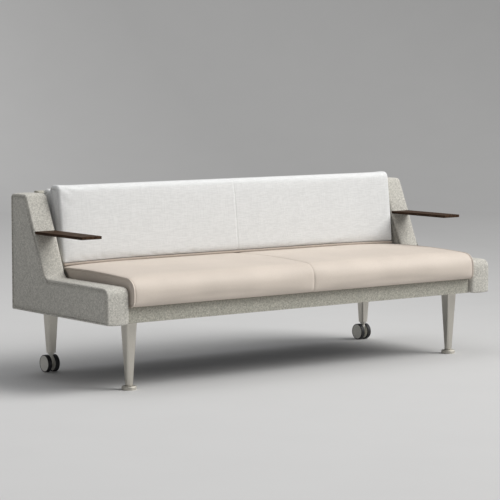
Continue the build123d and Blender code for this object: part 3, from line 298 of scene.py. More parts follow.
# %% [markdown]
# Woods
#
# The caps are oiled walnut, cut along the grain, so dark streaks run from front to rear. The hidden
# boards are birch plywood, whose layers show at every edge, and the beams are pine. Bands make both the
# growth rings, with some distortion, and the layers, without any. Open pores spread the light, so the
# wood has next to no mirror shine.

# %% Walnut and pine
WALNUT_COLOUR = (0.047, 0.027, 0.016)
PINE_COLOUR = (0.66, 0.48, 0.29)
WOOD_SHINE = 0.05
PORE_TONES = ((0.36, (0.68, 0.66, 0.64)), (0.48, (1.0, 1.0, 1.0)))
GRAIN_DEPTH = 0.0003


def grained(name, colour, stretch, contrast, roughness, rings):
    """Wood whose streaks run along the axis that is stretched least."""
    finish, tree, shader = start_finish(name, colour, roughness, Specular_IOR_Level=WOOD_SHINE)
    low, high = shades(colour, 1 - contrast, 1 + contrast)
    streaks = noise_at(tree, 14.0, stretch, 6.0)
    pores = noise_at(tree, 60.0, stretch, 2.0)
    growth = bands_at(tree, rings, stretch, 6.0)
    figure = combine(tree, "ADD", combine(tree, "MULTIPLY", growth, 0.35), streaks)
    wood = tones(tree, figure, [(0.38, low), (0.82, high)])
    tree.links.new(tint(tree, wood, tones(tree, pores, PORE_TONES)), shader.inputs["Base Color"])
    emboss(tree, shader, combine(tree, "ADD", streaks, pores), GRAIN_DEPTH, 0.5)
    return finish


def pine(name, stretch):
    """Pale pine, with its grain along the axis that is stretched least."""
    return grained(name, PINE_COLOUR, stretch, contrast=0.16, roughness=0.7, rings=4.0)


WALNUT = grained("oiled_walnut", WALNUT_COLOUR, (14, 1, 14), contrast=0.45, roughness=0.6, rings=3.0)
PINE_LONG = pine("pine_along_seat", (1, 16, 16))
PINE_DEEP = pine("pine_front_to_rear", (16, 1, 16))
print("solid woods:", WALNUT.name, PINE_LONG.name, PINE_DEEP.name)

# %% Plywood
BIRCH_COLOUR = (0.62, 0.46, 0.29)
LAYERS_PER_METRE = 330.0
LAYER_RELIEF = 0.0002
STREAK_TONES = ((0.3, (0.8, 0.8, 0.8)), (0.7, (1.0, 1.0, 1.0)))


def layered(name, stretch):
    """Plywood with its layers stacked along one axis."""
    finish, tree, shader = start_finish(name, BIRCH_COLOUR, 0.7)
    low, high = shades(BIRCH_COLOUR, 0.62, 1.12)
    layers = bands_at(tree, LAYERS_PER_METRE, stretch)
    sheet = tones(tree, layers, [(0.25, low), (0.5, BIRCH_COLOUR), (0.8, high)])
    streaks = tones(tree, noise_at(tree, 18.0, (6, 1, 6), 4.0), STREAK_TONES)
    tree.links.new(tint(tree, sheet, streaks), shader.inputs["Base Color"])
    emboss(tree, shader, layers, LAYER_RELIEF, 0.4)
    return finish


PLY_ARM = layered("birch_ply_in_arm", (1, 0, 0))
PLY_BACK = layered("birch_ply_in_back", (0, 1, 0))
PLY_DECK = layered("birch_ply_of_deck", (0, 0, 1))
print("plywoods:", PLY_ARM.name, PLY_BACK.name, PLY_DECK.name)

# %% [markdown]
# Metals, plastic and rubber
#
# The legs are satin aluminium with fine lines along their length, the plates are black coated steel,
# the small fittings are zinc plated. Bare edges catch more light than flat faces, so a painted highlight,
# a lighter tone, follows the sharpness of the mesh. The wheels have a grey plastic disc in a black rubber
# tyre.

# %% Metals, plastic and rubber
GLOSS_SPREAD = 0.14
LINE_DEPTH = 0.0001


def metal(name, colour, roughness, stretch, edge_highlight_tone, metallic=1.0):
    """Metal or paint with fine lines, a varied gloss and a painted highlight on its sharp edges."""
    finish, tree, shader = start_finish(name, colour, roughness, Metallic=metallic)
    lines = noise_at(tree, 160.0, stretch, 3.0)
    smears = noise_at(tree, 22.0, (1, 1, 1), 3.0)
    low, high = shades(colour, 0.93, 1.05)
    base = tones(tree, lines, [(0.3, low), (0.7, high)])
    # painted highlight: the sharper the mesh, the lighter its colour
    edges = tree.nodes.new("ShaderNodeNewGeometry").outputs["Pointiness"]
    edge_highlight = tones(tree, edges, [(0.50, (1.0,) * 3), (0.62, (edge_highlight_tone,) * 3)])
    tree.links.new(tint(tree, base, edge_highlight), shader.inputs["Base Color"])
    spread = combine(tree, "MULTIPLY", smears, GLOSS_SPREAD)
    gloss = combine(tree, "ADD", spread, roughness - GLOSS_SPREAD / 2)
    tree.links.new(gloss, shader.inputs["Roughness"])
    emboss(tree, shader, lines, LINE_DEPTH, 0.35)
    return finish


# name, colour, roughness, stretch of the lines, tone of the painted edge highlight, and 0 for what isn't bare
# metal
HARD_FINISHES = (
    ("satin_aluminium", (0.60, 0.575, 0.52), 0.40, (12, 12, 1), 1.25),
    ("black_coated_steel", (0.014, 0.014, 0.015), 0.5, (1, 1, 1), 1.8, 0.0),
    ("zinc_plated_steel", (0.56, 0.56, 0.55), 0.32, (1, 1, 8), 1.2),
    ("satin_glide_metal", (0.56, 0.54, 0.49), 0.66, (1, 1, 1), 1.15),
    ("drawn_wire", (0.42, 0.42, 0.42), 0.30, (1, 6, 1), 1.2),
    ("grey_disc_plastic", (0.68, 0.665, 0.61), 0.45, (1, 1, 1), 1.1, 0.0),
    ("tyre_rubber", (0.016, 0.016, 0.018), 0.62, (1, 1, 1), 1.6, 0.0),
)
hard_finishes = [metal(*row) for row in HARD_FINISHES]
ALUMINIUM, BLACK_STEEL, ZINC, GLIDE_METAL, WIRE, DISC_PLASTIC, TYRE_RUBBER = hard_finishes
print("hard finishes:", [finish.name for finish in hard_finishes])

# %% [markdown]
# Dressing the hard pieces
#
# Wood, metal, rubber and plastic have the right shape already. Each measured piece only gets its finish,
# put in the place of the flat colour that came with it.

# %% Give every measured piece its finish
FINISH_OF = {
    "arm_cap": WALNUT,
    "arm_board": PLY_ARM,
    "back_board": PLY_BACK,
    "seat_deck": PLY_DECK,
    "front_beam": PINE_LONG,
    "rear_beam": PINE_LONG,
    "deck_beam": PINE_LONG,
    "centre_beam": PINE_DEEP,
    "side_beam": PINE_DEEP,
    "rear_block": PINE_DEEP,
    "leg_plate": BLACK_STEEL,
    "cap_bracket": BLACK_STEEL,
    "leg": ALUMINIUM,
    "glide": GLIDE_METAL,
    "caster_body": DISC_PLASTIC,
    "hub": DISC_PLASTIC,
    "tyre": TYRE_RUBBER,
    "caster_pins": ZINC,
    "screws": ZINC,
    "arm_bolts": ZINC,
    "strap_hook": WIRE,
    "strap_rod": WIRE,
}

dressed = 0
for node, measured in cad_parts.items():
    for ending, finish in FINISH_OF.items():
        if node.endswith(ending):
            measured.data.materials.clear()
            measured.data.materials.append(finish)
            dressed += 1
print(dressed, "measured pieces dressed")

# %% [markdown]
# How the soft forms are made
#
# Every thick cushion of this sofa is long in X and has the same side view all along, so one tool serves
# them all. It traces a rounded side view, repeats it at stations along X, draws it in towards both ends
# so that the edges are round, and closes each end with a panel of even quads. A remesh of the measured
# solid would do the job too, but rows of quads that follow the form swell evenly in the cloth solver,
# and a seam can be one of the rows.

# %% Round a corner
ARC_STEPS = 6


def unit(vector):
    """Give a vector of length one."""
    return vector / np.linalg.norm(vector)


def corner_arc(before, here, after, radius):
    """Trace the round corner between two sides."""
    back, ahead = unit(before - here), unit(after - here)
    half = math.acos(float(np.clip(back @ ahead, -1, 1))) / 2
    centre = here + unit(back + ahead) * radius / math.sin(half)
    start = here + back * radius / math.tan(half) - centre
    stop = here + ahead * radius / math.tan(half) - centre
    first = math.atan2(start[1], start[0])
    sweep = (math.atan2(stop[1], stop[0]) - first + math.pi) % (2 * math.pi) - math.pi
    turns = [first + sweep * step / ARC_STEPS for step in range(ARC_STEPS + 1)]
    return [centre + radius * np.array((math.cos(turn), math.sin(turn))) for turn in turns]


print("a corner is rounded in", ARC_STEPS, "steps")

# %% Trace a side view and draw it in
SHARPEST = 0.0015


def trace(corners, counts):
    """Trace (y, z, radius, bulge) corners anticlockwise, with a count of steps along each side."""
    places = [np.array(corner[:2]) for corner in corners]
    total = len(corners)
    arcs = [
        corner_arc(places[i - 1], places[i], places[(i + 1) % total], corners[i][2]) for i in range(total)
    ]
    points = []
    for i, arc in enumerate(arcs):
        points += arc
        start, stop = arc[-1], arcs[(i + 1) % total][0]
        ahead = unit(stop - start)
        outward = np.array((ahead[1], -ahead[0])) * corners[i][3]
        for step in range(1, counts[i]):
            share = step / counts[i]
            points.append(start + (stop - start) * share + outward * 4 * share * (1 - share))
    return np.array(points)


def drawn_in(corners, inset):
    """Move every side of a side view inward and keep its corners round."""
    moved = []
    total = len(corners)
    for i, (y, z, radius, bulge) in enumerate(corners):
        here = np.array((y, z))
        arriving = unit(here - np.array(corners[i - 1][:2]))
        leaving = unit(np.array(corners[(i + 1) % total][:2]) - here)
        normals = np.array(((-arriving[1], arriving[0]), (-leaving[1], leaving[0])))
        shift = normals.sum(axis=0) / (1 + normals[0] @ normals[1]) * inset
        convex = arriving[0] * leaving[1] - arriving[1] * leaving[0] > 0
        radius = max(radius - inset, SHARPEST) if convex else radius + inset
        moved.append((*(here + shift), radius, bulge))
    return moved


square = [(0, 0, 0.1, 0), (1, 0, 0.1, 0), (1, 1, 0.1, 0), (0, 1, 0.1, 0)]
print("a round square has", len(trace(square, [2] * 4)), "points, drawn in or not")

# %% [markdown]
# From side view to closed form
#
# The end panels are woven from their four borders: each inner point is the sum of what the borders say
# across and along, less what the corners say twice. That gives quads all over, also on the arms, whose
# side view has a bend in it. Only the ends of the back rest, which the arms hide, are cut into triangles.

# %% Close the ends
def woven_panel(ring, marks):
    """Fill a closed ring with a grid between its four marked points, and say which points are new."""
    total = len(ring)
    index_sides = []
    for start, stop in zip(marks, marks[1:] + marks[:1]):
        index_sides.append([(start + step) % total for step in range((stop - start) % total + 1)])
    bottom, rear, top, front = index_sides
    top, front = top[::-1], front[::-1]
    wide, high = len(bottom), len(rear)
    grid = np.full((wide, high), -1)
    grid[:, 0], grid[:, -1], grid[0, :], grid[-1, :] = bottom, top, front, rear
    new_points = []
    for i in range(1, wide - 1):
        for j in range(1, high - 1):
            u, v = i / (wide - 1), j / (high - 1)
            across = (1 - v) * ring[bottom[i]] + v * ring[top[i]]
            along = (1 - u) * ring[front[j]] + u * ring[rear[j]]
            low = (1 - u) * ring[bottom[0]] + u * ring[bottom[-1]]
            high_row = (1 - u) * ring[top[0]] + u * ring[top[-1]]
            grid[i, j] = total + len(new_points)
            new_points.append(across + along - (1 - v) * low - v * high_row)
    return grid, np.array(new_points)


def triangle_panel(ring):
    """Fill a closed ring with triangles only, for an end that nobody sees."""
    triangles = tessellate_polygon([[Vector((point[0], point[1], 0)) for point in ring]])
    return [tuple(triangle) for triangle in triangles]


def even_sense(points, triangles):
    """Turn triangles so that they all run anticlockwise."""
    turned = []
    for a, b, c in triangles:
        first, second = points[b] - points[a], points[c] - points[a]
        turned.append((a, b, c) if first[0] * second[1] > first[1] * second[0] else (a, c, b))
    return turned


ring = trace(square, [2] * 4)
print("the round square closes with", len(even_sense(ring, triangle_panel(ring))), "triangles")

# %% Make a mesh, and read and write its points
def make_piece(name, points, faces):
    """Make an object from points and faces and put it in the scene."""
    mesh = bpy.data.meshes.new(name)
    mesh.from_pydata([tuple(map(float, point)) for point in points], [], faces)
    mesh.validate()
    mesh.update()
    mesh.shade_smooth()
    piece = bpy.data.objects.new(name, mesh)
    bpy.context.collection.objects.link(piece)
    return piece


def read_points(mesh, what):
    """Read the places ("co") or outward directions ("normal") of all points of a mesh."""
    flat = np.empty(len(mesh.vertices) * 3)
    mesh.vertices.foreach_get(what, flat)
    return flat.reshape(-1, 3)


def places_of(piece):
    """Read the places of all points of a piece."""
    return read_points(piece.data, "co")


def move_points(piece, places):
    """Write the places of all points of a piece."""
    piece.data.vertices.foreach_set("co", np.ascontiguousarray(places, dtype=np.float32).ravel())
    piece.data.update()


print("mesh tools ready")

# %% Build a form from its stations
# the corners that bound an end panel, for a side view with four corners
BOX_MARKS = [0, 1, 2, 3]


def build_form(name, stations, corners, counts, marks=None, lower=None):
    """Build a closed form from stations of (x, inset). Marks are the corners that bound the end panels."""
    rings = [trace(drawn_in(corners, inset), counts) for _, inset in stations]
    if lower:
        for (x, _), ring in zip(stations, rings):
            lower(x, ring)
    total = len(rings[0])
    points = [(x, *point) for (x, _), ring in zip(stations, rings) for point in ring]
    faces = []
    for row in range(len(stations) - 1):
        for i in range(total):
            a, b = row * total + i, row * total + (i + 1) % total
            faces.append((a, b, b + total, a + total))
    starts = np.cumsum([0] + [ARC_STEPS + count for count in counts])
    for row, flip in ((0, True), (len(stations) - 1, False)):
        offset = row * total
        if marks:
            grid, new = woven_panel(rings[row], [int(starts[m]) + ARC_STEPS // 2 for m in marks])
            base = len(points)
            points += [(stations[row][0], *point) for point in new]
            index = np.where(grid < total, grid + offset, grid - total + base)
            quads = [
                (index[i, j], index[i + 1, j], index[i + 1, j + 1], index[i, j + 1])
                for i in range(index.shape[0] - 1)
                for j in range(index.shape[1] - 1)
            ]
        else:
            quads = even_sense(rings[row], triangle_panel(rings[row]))
            quads = [tuple(offset + corner for corner in quad) for quad in quads]
        faces += [tuple(reversed(quad)) if flip else tuple(quad) for quad in quads]
    faces = [tuple(int(corner) for corner in face) for face in faces]
    return make_piece(name, points, faces), rings


print("end panels are marked", ARC_STEPS // 2, "steps into their corners")

# %% Space the stations
# how deep each row of a sewn rim is sunk, as a share of the groove, and how far it lies in from the edge
SEWN_RIM = ((0.1, 0.0008), (0.7, 0.0018), (1.0, 0.0030), (0.75, 0.0050), (0.3, 0.0080), (0.0, 0.0130))


def even_stations(half, spacing, round_edge, seams=(), groove=0.0):
    """List (x, inset) from end to end: round edges, even steps, close rows at seams, sewn end panels."""
    flat = half - round_edge
    marks = {-flat, flat}
    for seam, reach in seams:
        marks |= {seam - reach, seam - reach / 2, seam, seam + reach / 2, seam + reach}
    marks = sorted(marks)
    inner = []
    for start, stop in zip(marks, marks[1:]):
        steps = max(1, round((stop - start) / spacing))
        inner += [(start + (stop - start) * step / steps, 0.0) for step in range(steps)]
    inner.append((flat, 0.0))
    turns = [math.pi / 2 * step / ARC_STEPS for step in range(1, ARC_STEPS + 1)]
    edge = [(flat + round_edge * math.sin(turn), round_edge * (1 - math.cos(turn))) for turn in turns]
    if groove:
        edge += [(half - groove * sunk, round_edge + reach) for sunk, reach in SEWN_RIM]
    return [(-x, inset) for x, inset in reversed(edge)] + inner + edge


print("a metre at 20 mm has", len(even_stations(0.5, 0.020, 0.005)), "stations with its round edges")

# %% [markdown]
# Swelling, seams and finishing touches
#
# Foam pushes its cover outward, and stitching holds it back. The cloth solver does both: it blows the
# form up with gravity off while the sewn rows are held, and a limit keeps each point near its start.
# Pushing every point out along its normal would be quicker, but it can't pull the cloth between seams.
# Seams are pressed in afterwards, and a thin welt or a row of stitches is laid on them as its own mesh.

# %% Swell a form, press its seams in and refine it
SOLVER_QUALITY = 5
SOLVER_FRAMES = 20
SMALLEST_MOVE = 1e-9


def swell(piece, held, pressure, reach, growth=0.0):
    """Blow a form up with the cloth solver and keep each point within reach of its start."""
    start = places_of(piece)
    piece.vertex_groups.new(name="held").add([int(i) for i in held], 1.0, "REPLACE")
    cloth = piece.modifiers.new("swelling", "CLOTH")
    cloth.settings.vertex_group_mass = "held"
    cloth.settings.use_pressure = True
    cloth.settings.uniform_pressure_force = pressure
    cloth.settings.effector_weights.gravity = 0.0
    cloth.settings.quality = SOLVER_QUALITY
    cloth.settings.shrink_min = -growth
    cloth.point_cache.frame_end = SOLVER_FRAMES
    for step in range(1, SOLVER_FRAMES + 1):
        bpy.context.scene.frame_set(step)
    solved = read_points(piece.evaluated_get(bpy.context.evaluated_depsgraph_get()).to_mesh(), "co")
    piece.modifiers.remove(cloth)
    piece.vertex_groups.clear()
    bpy.context.scene.frame_set(1)
    move = solved - start
    length = np.linalg.norm(move, axis=1, keepdims=True)
    limited = move * reach * np.tanh(length / reach) / np.maximum(length, SMALLEST_MOVE)
    move_points(piece, start + limited)
    print(piece.name, "swelled by up to", round(float(np.abs(limited).max()) * 1000, 1), "mm")


def press_seam(piece, distance, width, depth):
    """Press a groove into a form where a distance to the seam is small."""
    places, outward = places_of(piece), read_points(piece.data, "normal")
    move_points(piece, places - outward * (depth * np.exp(-((distance / width) ** 2)))[:, None])


def refine(piece):
    """Divide the quads of a form once more, for round highlights."""
    rounder = piece.modifiers.new("rounder", "SUBSURF")
    rounder.levels = rounder.render_levels = 1


print("the solver runs for", SOLVER_FRAMES, "frames")

# %% Lay a welt
WELT_SIDES = 8
WELT_ASKEW = (0.3, 0.5, 0.8)


def tube_faces(first, rings, sides, closed=False):
    """Join rings of points into a tube, and cap both ends unless the tube is closed into a loop."""
    faces = []
    for ring in range(rings if closed else rings - 1):
        row, next_row = first + ring * sides, first + (ring + 1) % rings * sides
        for k in range(sides):
            after = (k + 1) % sides
            faces.append((row + k, row + after, next_row + after, next_row + k))
    if not closed:
        last = first + (rings - 1) * sides
        faces.append(tuple(range(first, first + sides))[::-1])
        faces.append(tuple(range(last, last + sides)))
    return faces


def tube_along(name, line, radius, closed=False):
    """Lay a round welt along a line of points."""
    line = np.array(line, float)
    count = len(line)
    if closed:
        ahead = np.roll(line, -1, axis=0) - np.roll(line, 1, axis=0)
    else:
        ahead = np.gradient(line, axis=0)
    ahead /= np.linalg.norm(ahead, axis=1, keepdims=True)
    points = []
    side = np.cross(ahead[0], WELT_ASKEW)
    for i in range(count):
        side = unit(side - ahead[i] * (side @ ahead[i]))
        other = np.cross(ahead[i], side)
        for k in range(WELT_SIDES):
            turn = 2 * math.pi * k / WELT_SIDES
            points.append(line[i] + radius * (math.cos(turn) * side + math.sin(turn) * other))
    faces = tube_faces(0, count, WELT_SIDES, closed)
    return make_piece(name, points, faces)


def even_line(line, spacing):
    """Place points at even steps along a line."""
    line = np.array(line, float)
    lengths = np.concatenate(([0], np.cumsum(np.linalg.norm(np.diff(line, axis=0), axis=1))))
    steps = max(2, int(lengths[-1] / spacing))
    at = np.linspace(0, lengths[-1], steps + 1)
    return np.stack([np.interp(at, lengths, line[:, axis]) for axis in range(3)], axis=1)


print("welts are tubes with", WELT_SIDES, "sides")

# %% Lay a row of stitches
# share of the span and share of the radius, from end to end of a thread
THREAD_SHAPE = ((0.12, 0.3), (0.25, 1.0), (0.75, 1.0), (0.88, 0.3))
THREAD_SIDES = 5
THREAD_ASKEW = (0.31, 0.47, 0.83)


def short_threads(name, spans, radius, shape=THREAD_SHAPE):
    """Lay one short thread or wire in each span, all as one mesh."""
    points, faces = [], []
    for start, stop in spans:
        ahead = unit(stop - start)
        side = unit(np.cross(ahead, THREAD_ASKEW))
        other = np.cross(ahead, side)
        faces += tube_faces(len(points), len(shape), THREAD_SIDES)
        for share, thickness in shape:
            for k in range(THREAD_SIDES):
                turn = 2 * math.pi * k / THREAD_SIDES
                spoke = math.cos(turn) * side + math.sin(turn) * other
                points.append(start + (stop - start) * share + spoke * radius * thickness)
    return make_piece(name, points, faces)


def stitches(name, line, pitch, radius):
    """Lay short threads end to end along a line."""
    marks = even_line(line, pitch)
    return short_threads(name, zip(marks, marks[1:]), radius)


def wear(piece, finish, body):
    """Give a piece its finish and the body that it moves with."""
    piece.data.materials.append(finish)
    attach(piece, body)
    return piece


print("a stitch is a thread with", THREAD_SIDES, "sides")

# %% [markdown]
# The arms
#
# Each arm is a board wrapped in foam and felt. A band of felt runs over the front, the shelf, the slope
# and the top, and a flat panel closes each side. The outer panel is sewn to the band a little inside
# the edge, which leaves a fine shadow line, and the inner edge is only rounded. The foam is firm, so its
# small swelling is worked out instead of solved: the band is domed by a few millimetres, and so is the
# outer panel, while the inner one stays flat beside the cushion.

# %% Side view of the arm from the measured box
arm_low, arm_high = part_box("left_arm_cover")
ARM_FRONT, ARM_REAR = arm_low.y, arm_high.y
UNDERSIDE, ARM_TOP = arm_low.z, arm_high.z
INNER_FACE, OUTER_FACE = abs(arm_high.x), abs(arm_low.x)
SHELF_RISE = 0.149
SLOPE_FOOT_TO_REAR = 0.272
SLOPE_TOP_TO_REAR = 0.122
ARM_INNER_EDGE = 0.014
ARM_OUTER_EDGE = 0.006
ARM_CORNERS = [
    (ARM_FRONT, UNDERSIDE, 0.004, 0.0),
    (ARM_REAR, UNDERSIDE, 0.004, 0.0),
    (ARM_REAR, ARM_TOP, 0.018, 0.001),
    (ARM_REAR - SLOPE_TOP_TO_REAR, ARM_TOP, 0.020, 0.002),
    (ARM_REAR - SLOPE_FOOT_TO_REAR, UNDERSIDE + SHELF_RISE, 0.045, 0.001),
    (ARM_FRONT, UNDERSIDE + SHELF_RISE, 0.032, 0.001),
]
ARM_COUNTS = [72, 36, 8, 26, 26, 36]
ARM_MARKS = [0, 1, 2, 5]
print("arm from", round(ARM_FRONT, 4), "to", round(ARM_REAR, 4), "top at", round(ARM_TOP, 4))

# %% Domes of the arms
ARM_STATION_STEP = 0.012
ARM_GROOVE = 0.005
ARM_DOME = 0.003
ARM_END_ROOM = 0.001
PANEL_BULGE = 0.0028
BULGE_REACH = 0.045
SMALLEST_SIDE = 1e-12


def border_distance(places, ring):
    """Measure how far each (y, z) place is from a ring."""
    nearest = np.full(len(places), np.inf)
    for start, stop in zip(ring, np.roll(ring, -1, axis=0)):
        along = stop - start
        share = np.clip(((places - start) @ along) / max(along @ along, SMALLEST_SIDE), 0, 1)
        nearest = np.minimum(nearest, np.linalg.norm(places - start - share[:, None] * along, axis=1))
    return nearest


def arm_stations(side, middle, half):
    """List the domed stations of an arm, sewn at its outer side and plain at its inner side."""
    sewn = even_stations(half, ARM_STATION_STEP, ARM_OUTER_EDGE, groove=ARM_GROOVE)
    plain = even_stations(half, ARM_STATION_STEP, ARM_INNER_EDGE)
    left, right = (sewn, plain) if side < 0 else (plain, sewn)
    stations = []
    for x, inset in [row for row in left if row[0] < 0] + [row for row in right if row[0] >= 0]:
        dome = ARM_DOME * (1 - (x / half) ** 2) if abs(x) < half - ARM_END_ROOM else 0.0
        stations.append((x + middle, inset - dome))
    return stations


print("the arms are domed by", ARM_DOME * 1000, "mm, their outer panels by", PANEL_BULGE * 1000, "mm")

# %% Build both arms and stitch their outer panels
STITCH_INSET = 0.0125
STITCH_LIFT = 0.0002
STITCH_PITCH = 0.0065
STITCH_RADIUS = 0.00045


def make_arm(side_name, side):
    """Make one arm with its swollen outer panel."""
    middle = side * (INNER_FACE + OUTER_FACE) / 2
    half = (OUTER_FACE - INNER_FACE) / 2 - ARM_END_ROOM
    stations = arm_stations(side, middle, half)
    arm, rings = build_form(f"{side_name}_arm_felt", stations, ARM_CORNERS, ARM_COUNTS, ARM_MARKS)
    places = places_of(arm)
    outward = side * (places[:, 0] - middle)
    bulge = PANEL_BULGE * (1 - np.exp(-((border_distance(places[:, 1:], rings[0]) / BULGE_REACH) ** 2)))
    places[:, 0] += np.where(outward > half - ARM_END_ROOM / 2, side * bulge, 0)
    places[:, 0] = np.where(outward < ARM_END_ROOM / 2 - half, middle - side * half, places[:, 0])
    move_points(arm, places)
    refine(arm)
    wear(arm, FELT, "frame")
    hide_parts(f"{side_name}_arm_cover")
    print(arm.name, len(arm.data.vertices), "points")
    return middle + side * (half + STITCH_LIFT)


stitch_ring = trace(drawn_in(ARM_CORNERS, ARM_OUTER_EDGE + STITCH_INSET), ARM_COUNTS)
for side_name, side in (("left", -1), ("right", 1)):
    outer_face = make_arm(side_name, side)
    stitch_line = [(outer_face, y, z) for y, z in stitch_ring]
    thread = stitches(f"{side_name}_arm_stitches", stitch_line, STITCH_PITCH, STITCH_RADIUS)
    wear(thread, THREAD, "frame")
print("both outer panels stitched at", round((ARM_OUTER_EDGE + STITCH_INSET) * 1000, 1), "mm from the edge")

# %% [markdown]
# The back rest
#
# A raised border of flecked cloth frames a dark panel. Seen from the side the border leans back above a
# gentle lumbar bend. The border is one form: its front is pushed back where the panel lies, over a
# rounded edge. Cutting a hole would leave a sharp rim, and pushing the rows back leaves a soft one. The
# cloth is closed behind, where a thin welt runs round the outside back a finger's width from its edge.

# %% Side view of the back rest
back_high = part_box("back_cover")[1]
BACK_TOP = back_high.z
BACK_HALF = back_high.x
BEAM_TOP = UNDERSIDE + 0.057
SKIRT = ARM_REAR - 0.0157
BACK_CORNERS = [
    (ARM_REAR, UNDERSIDE, 0.002, 0.0),
    (ARM_REAR, BACK_TOP, 0.012, 0.001),
    (ARM_REAR - 0.0455, BACK_TOP, 0.018, 0.0),
    (ARM_REAR - 0.083, UNDERSIDE + 0.338, 0.150, 0.0015),
    (ARM_REAR - 0.090, UNDERSIDE + 0.272, 0.200, 0.0),
    (ARM_REAR - 0.086, BEAM_TOP, 0.002, 0.0),
    (SKIRT, BEAM_TOP, 0.002, 0.0),
    (SKIRT, UNDERSIDE, 0.002, 0.0),
]
BACK_COUNTS = [30, 4, 36, 3, 30, 6, 5, 2]
print("back rest top", round(BACK_TOP, 4), "half length", round(BACK_HALF, 4))

# %% Build the back rest
EDGE_BAND = (0.840, 0.905)
MIDDLE_STEP, SIDE_STEP, BAND_STEP = 0.030, 0.012, 0.003

back_marks = [-BACK_HALF, -EDGE_BAND[1], -EDGE_BAND[0], *EDGE_BAND, BACK_HALF]
back_steps = (SIDE_STEP, BAND_STEP, MIDDLE_STEP, BAND_STEP, SIDE_STEP)
back_stations = []
for start, stop, step in zip(back_marks, back_marks[1:], back_steps):
    steps = math.ceil((stop - start) / step)
    back_stations += [(start + (stop - start) * k / steps, 0.0) for k in range(steps)]
back_stations.append((BACK_HALF, 0.0))
back, back_rings = build_form("back_rest_border", back_stations, BACK_CORNERS, BACK_COUNTS)
print(back.name, "has", len(back_stations), "stations, close together where the panel ends")

# %% Push the front back where the panel lies
back_panel_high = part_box("back_panel")[1]
PANEL_HALF, PANEL_TOP = back_panel_high.x, back_panel_high.z
PANEL_ROUND = 0.040
RECESS = 0.011
RECESS_ROUND = 0.009
BORDER_WIDTH = 0.02
BORDER_CROWN = 0.0015
BORDER_FOOT = BEAM_TOP + 0.01
FRONT_DEPTH = 0.030
REAR_ROOM = 0.001


def framed_depth(x, z, half, top, corner):
    """Say how far a place lies inside a frame with round upper corners."""
    over_x = np.maximum(np.abs(x) - (half - corner), 0)
    over_z = np.maximum(z - (top - corner), 0)
    inner = np.maximum(np.abs(x) - (half - corner), z - (top - corner))
    return corner - np.where(inner > 0, np.hypot(over_x, over_z), inner)


places = places_of(back)
sunk = framed_depth(places[:, 0], places[:, 2], PANEL_HALF, PANEL_TOP, PANEL_ROUND)
in_front = (places[:, 1] < ARM_REAR - FRONT_DEPTH) & (places[:, 2] > BORDER_FOOT)
share = np.clip(sunk / RECESS_ROUND, 0, 1)
places[:, 1] += np.where(in_front, RECESS * share * share * (3 - 2 * share), 0)
crown = np.clip(-sunk / BORDER_WIDTH, 0, 1)
places[:, 1] -= np.where(in_front, BORDER_CROWN * np.sin(crown * math.pi), 0)
places[:, 1] = np.minimum(places[:, 1], ARM_REAR + REAR_ROOM)
move_points(back, places)
refine(back)
wear(back, FLECKED, "frame")
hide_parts("back_cover")
print(back.name, len(back.data.vertices), "points")

# %% Lay the welt round the outside back
WELT_INSET = 0.015
WELT_RADIUS = 0.0025
WELT_CORNER = 0.020
WELT_PROUD = 0.0006
WELT_COUNTS = [90, 24, 90, 24]

welt_half = BACK_HALF - WELT_INSET
welt_corners = [
    (-welt_half, UNDERSIDE + WELT_INSET, WELT_CORNER, 0.0),
    (welt_half, UNDERSIDE + WELT_INSET, WELT_CORNER, 0.0),
    (welt_half, BACK_TOP - WELT_INSET, WELT_CORNER, 0.0),
    (-welt_half, BACK_TOP - WELT_INSET, WELT_CORNER, 0.0),
]
welt_line = [(x, ARM_REAR + WELT_PROUD, z) for x, z in trace(welt_corners, WELT_COUNTS)]
back_welt = tube_along("back_rest_welt", welt_line, WELT_RADIUS, closed=True)
wear(back_welt, FLECKED, "frame")
print(back_welt.name, len(back_welt.data.vertices), "points")

# %% [markdown]
# The dark panel
#
# A board with thin foam under a smooth dark cloth, let into the border. It follows the lumbar bend and
# swells a few millimetres in the middle. A flat board would need a bend modifier; a grid whose rows are
# laid on the side view of the border has the bend already. Its outline is rounded, and its edge turns
# back into the recess.

# %% Rows of the panel
PANEL_COLUMNS = 90
PANEL_ROWS, PANEL_CORNER_ROWS = 26, 15
PANEL_EDGE = 0.003
PANEL_SUNK = 0.0075
PANEL_FOOT = BEAM_TOP + 0.006
PROFILE_FOOT = BEAM_TOP + 0.004

panel_half, panel_top = PANEL_HALF - PANEL_EDGE, PANEL_TOP - PANEL_EDGE
front_profile = back_rings[len(back_rings) // 2]
on_front = (front_profile[:, 0] < ARM_REAR - FRONT_DEPTH) & (front_profile[:, 1] > PROFILE_FOOT)
front_rows = front_profile[on_front]
front_rows = front_rows[np.argsort(front_rows[:, 1])]


def panel_half_at(z):
    """Give the half width of the panel at one height."""
    over = max(0.0, z - (panel_top - PANEL_ROUND))
    return panel_half - PANEL_ROUND + math.sqrt(max(0.0, PANEL_ROUND**2 - over**2))


corner_turns = np.linspace(0, math.pi / 2, PANEL_CORNER_ROWS)[1:]
straight_heights = np.linspace(PANEL_FOOT, panel_top - PANEL_ROUND, PANEL_ROWS)
corner_heights = panel_top - PANEL_ROUND * (1 - np.sin(corner_turns))
rows = []
for z in [*straight_heights, *corner_heights]:
    x = np.linspace(-1, 1, PANEL_COLUMNS + 1) * panel_half_at(z)
    y = np.interp(z, front_rows[:, 1], front_rows[:, 0]) + PANEL_SUNK
    rows.append(np.stack((x, np.full_like(x, y), np.full_like(x, z)), axis=1))
panel_grid = np.array(rows)
print("the panel is a grid of", *panel_grid.shape[:2], "points")

# %% Swell the panel and roll its edge back
ROLL_REACH = 0.008
ROLL_DEPTH = 0.005
PANEL_SWELL = 0.003
SWELL_REACH = 0.09
BOARD_THICKNESS = 0.006

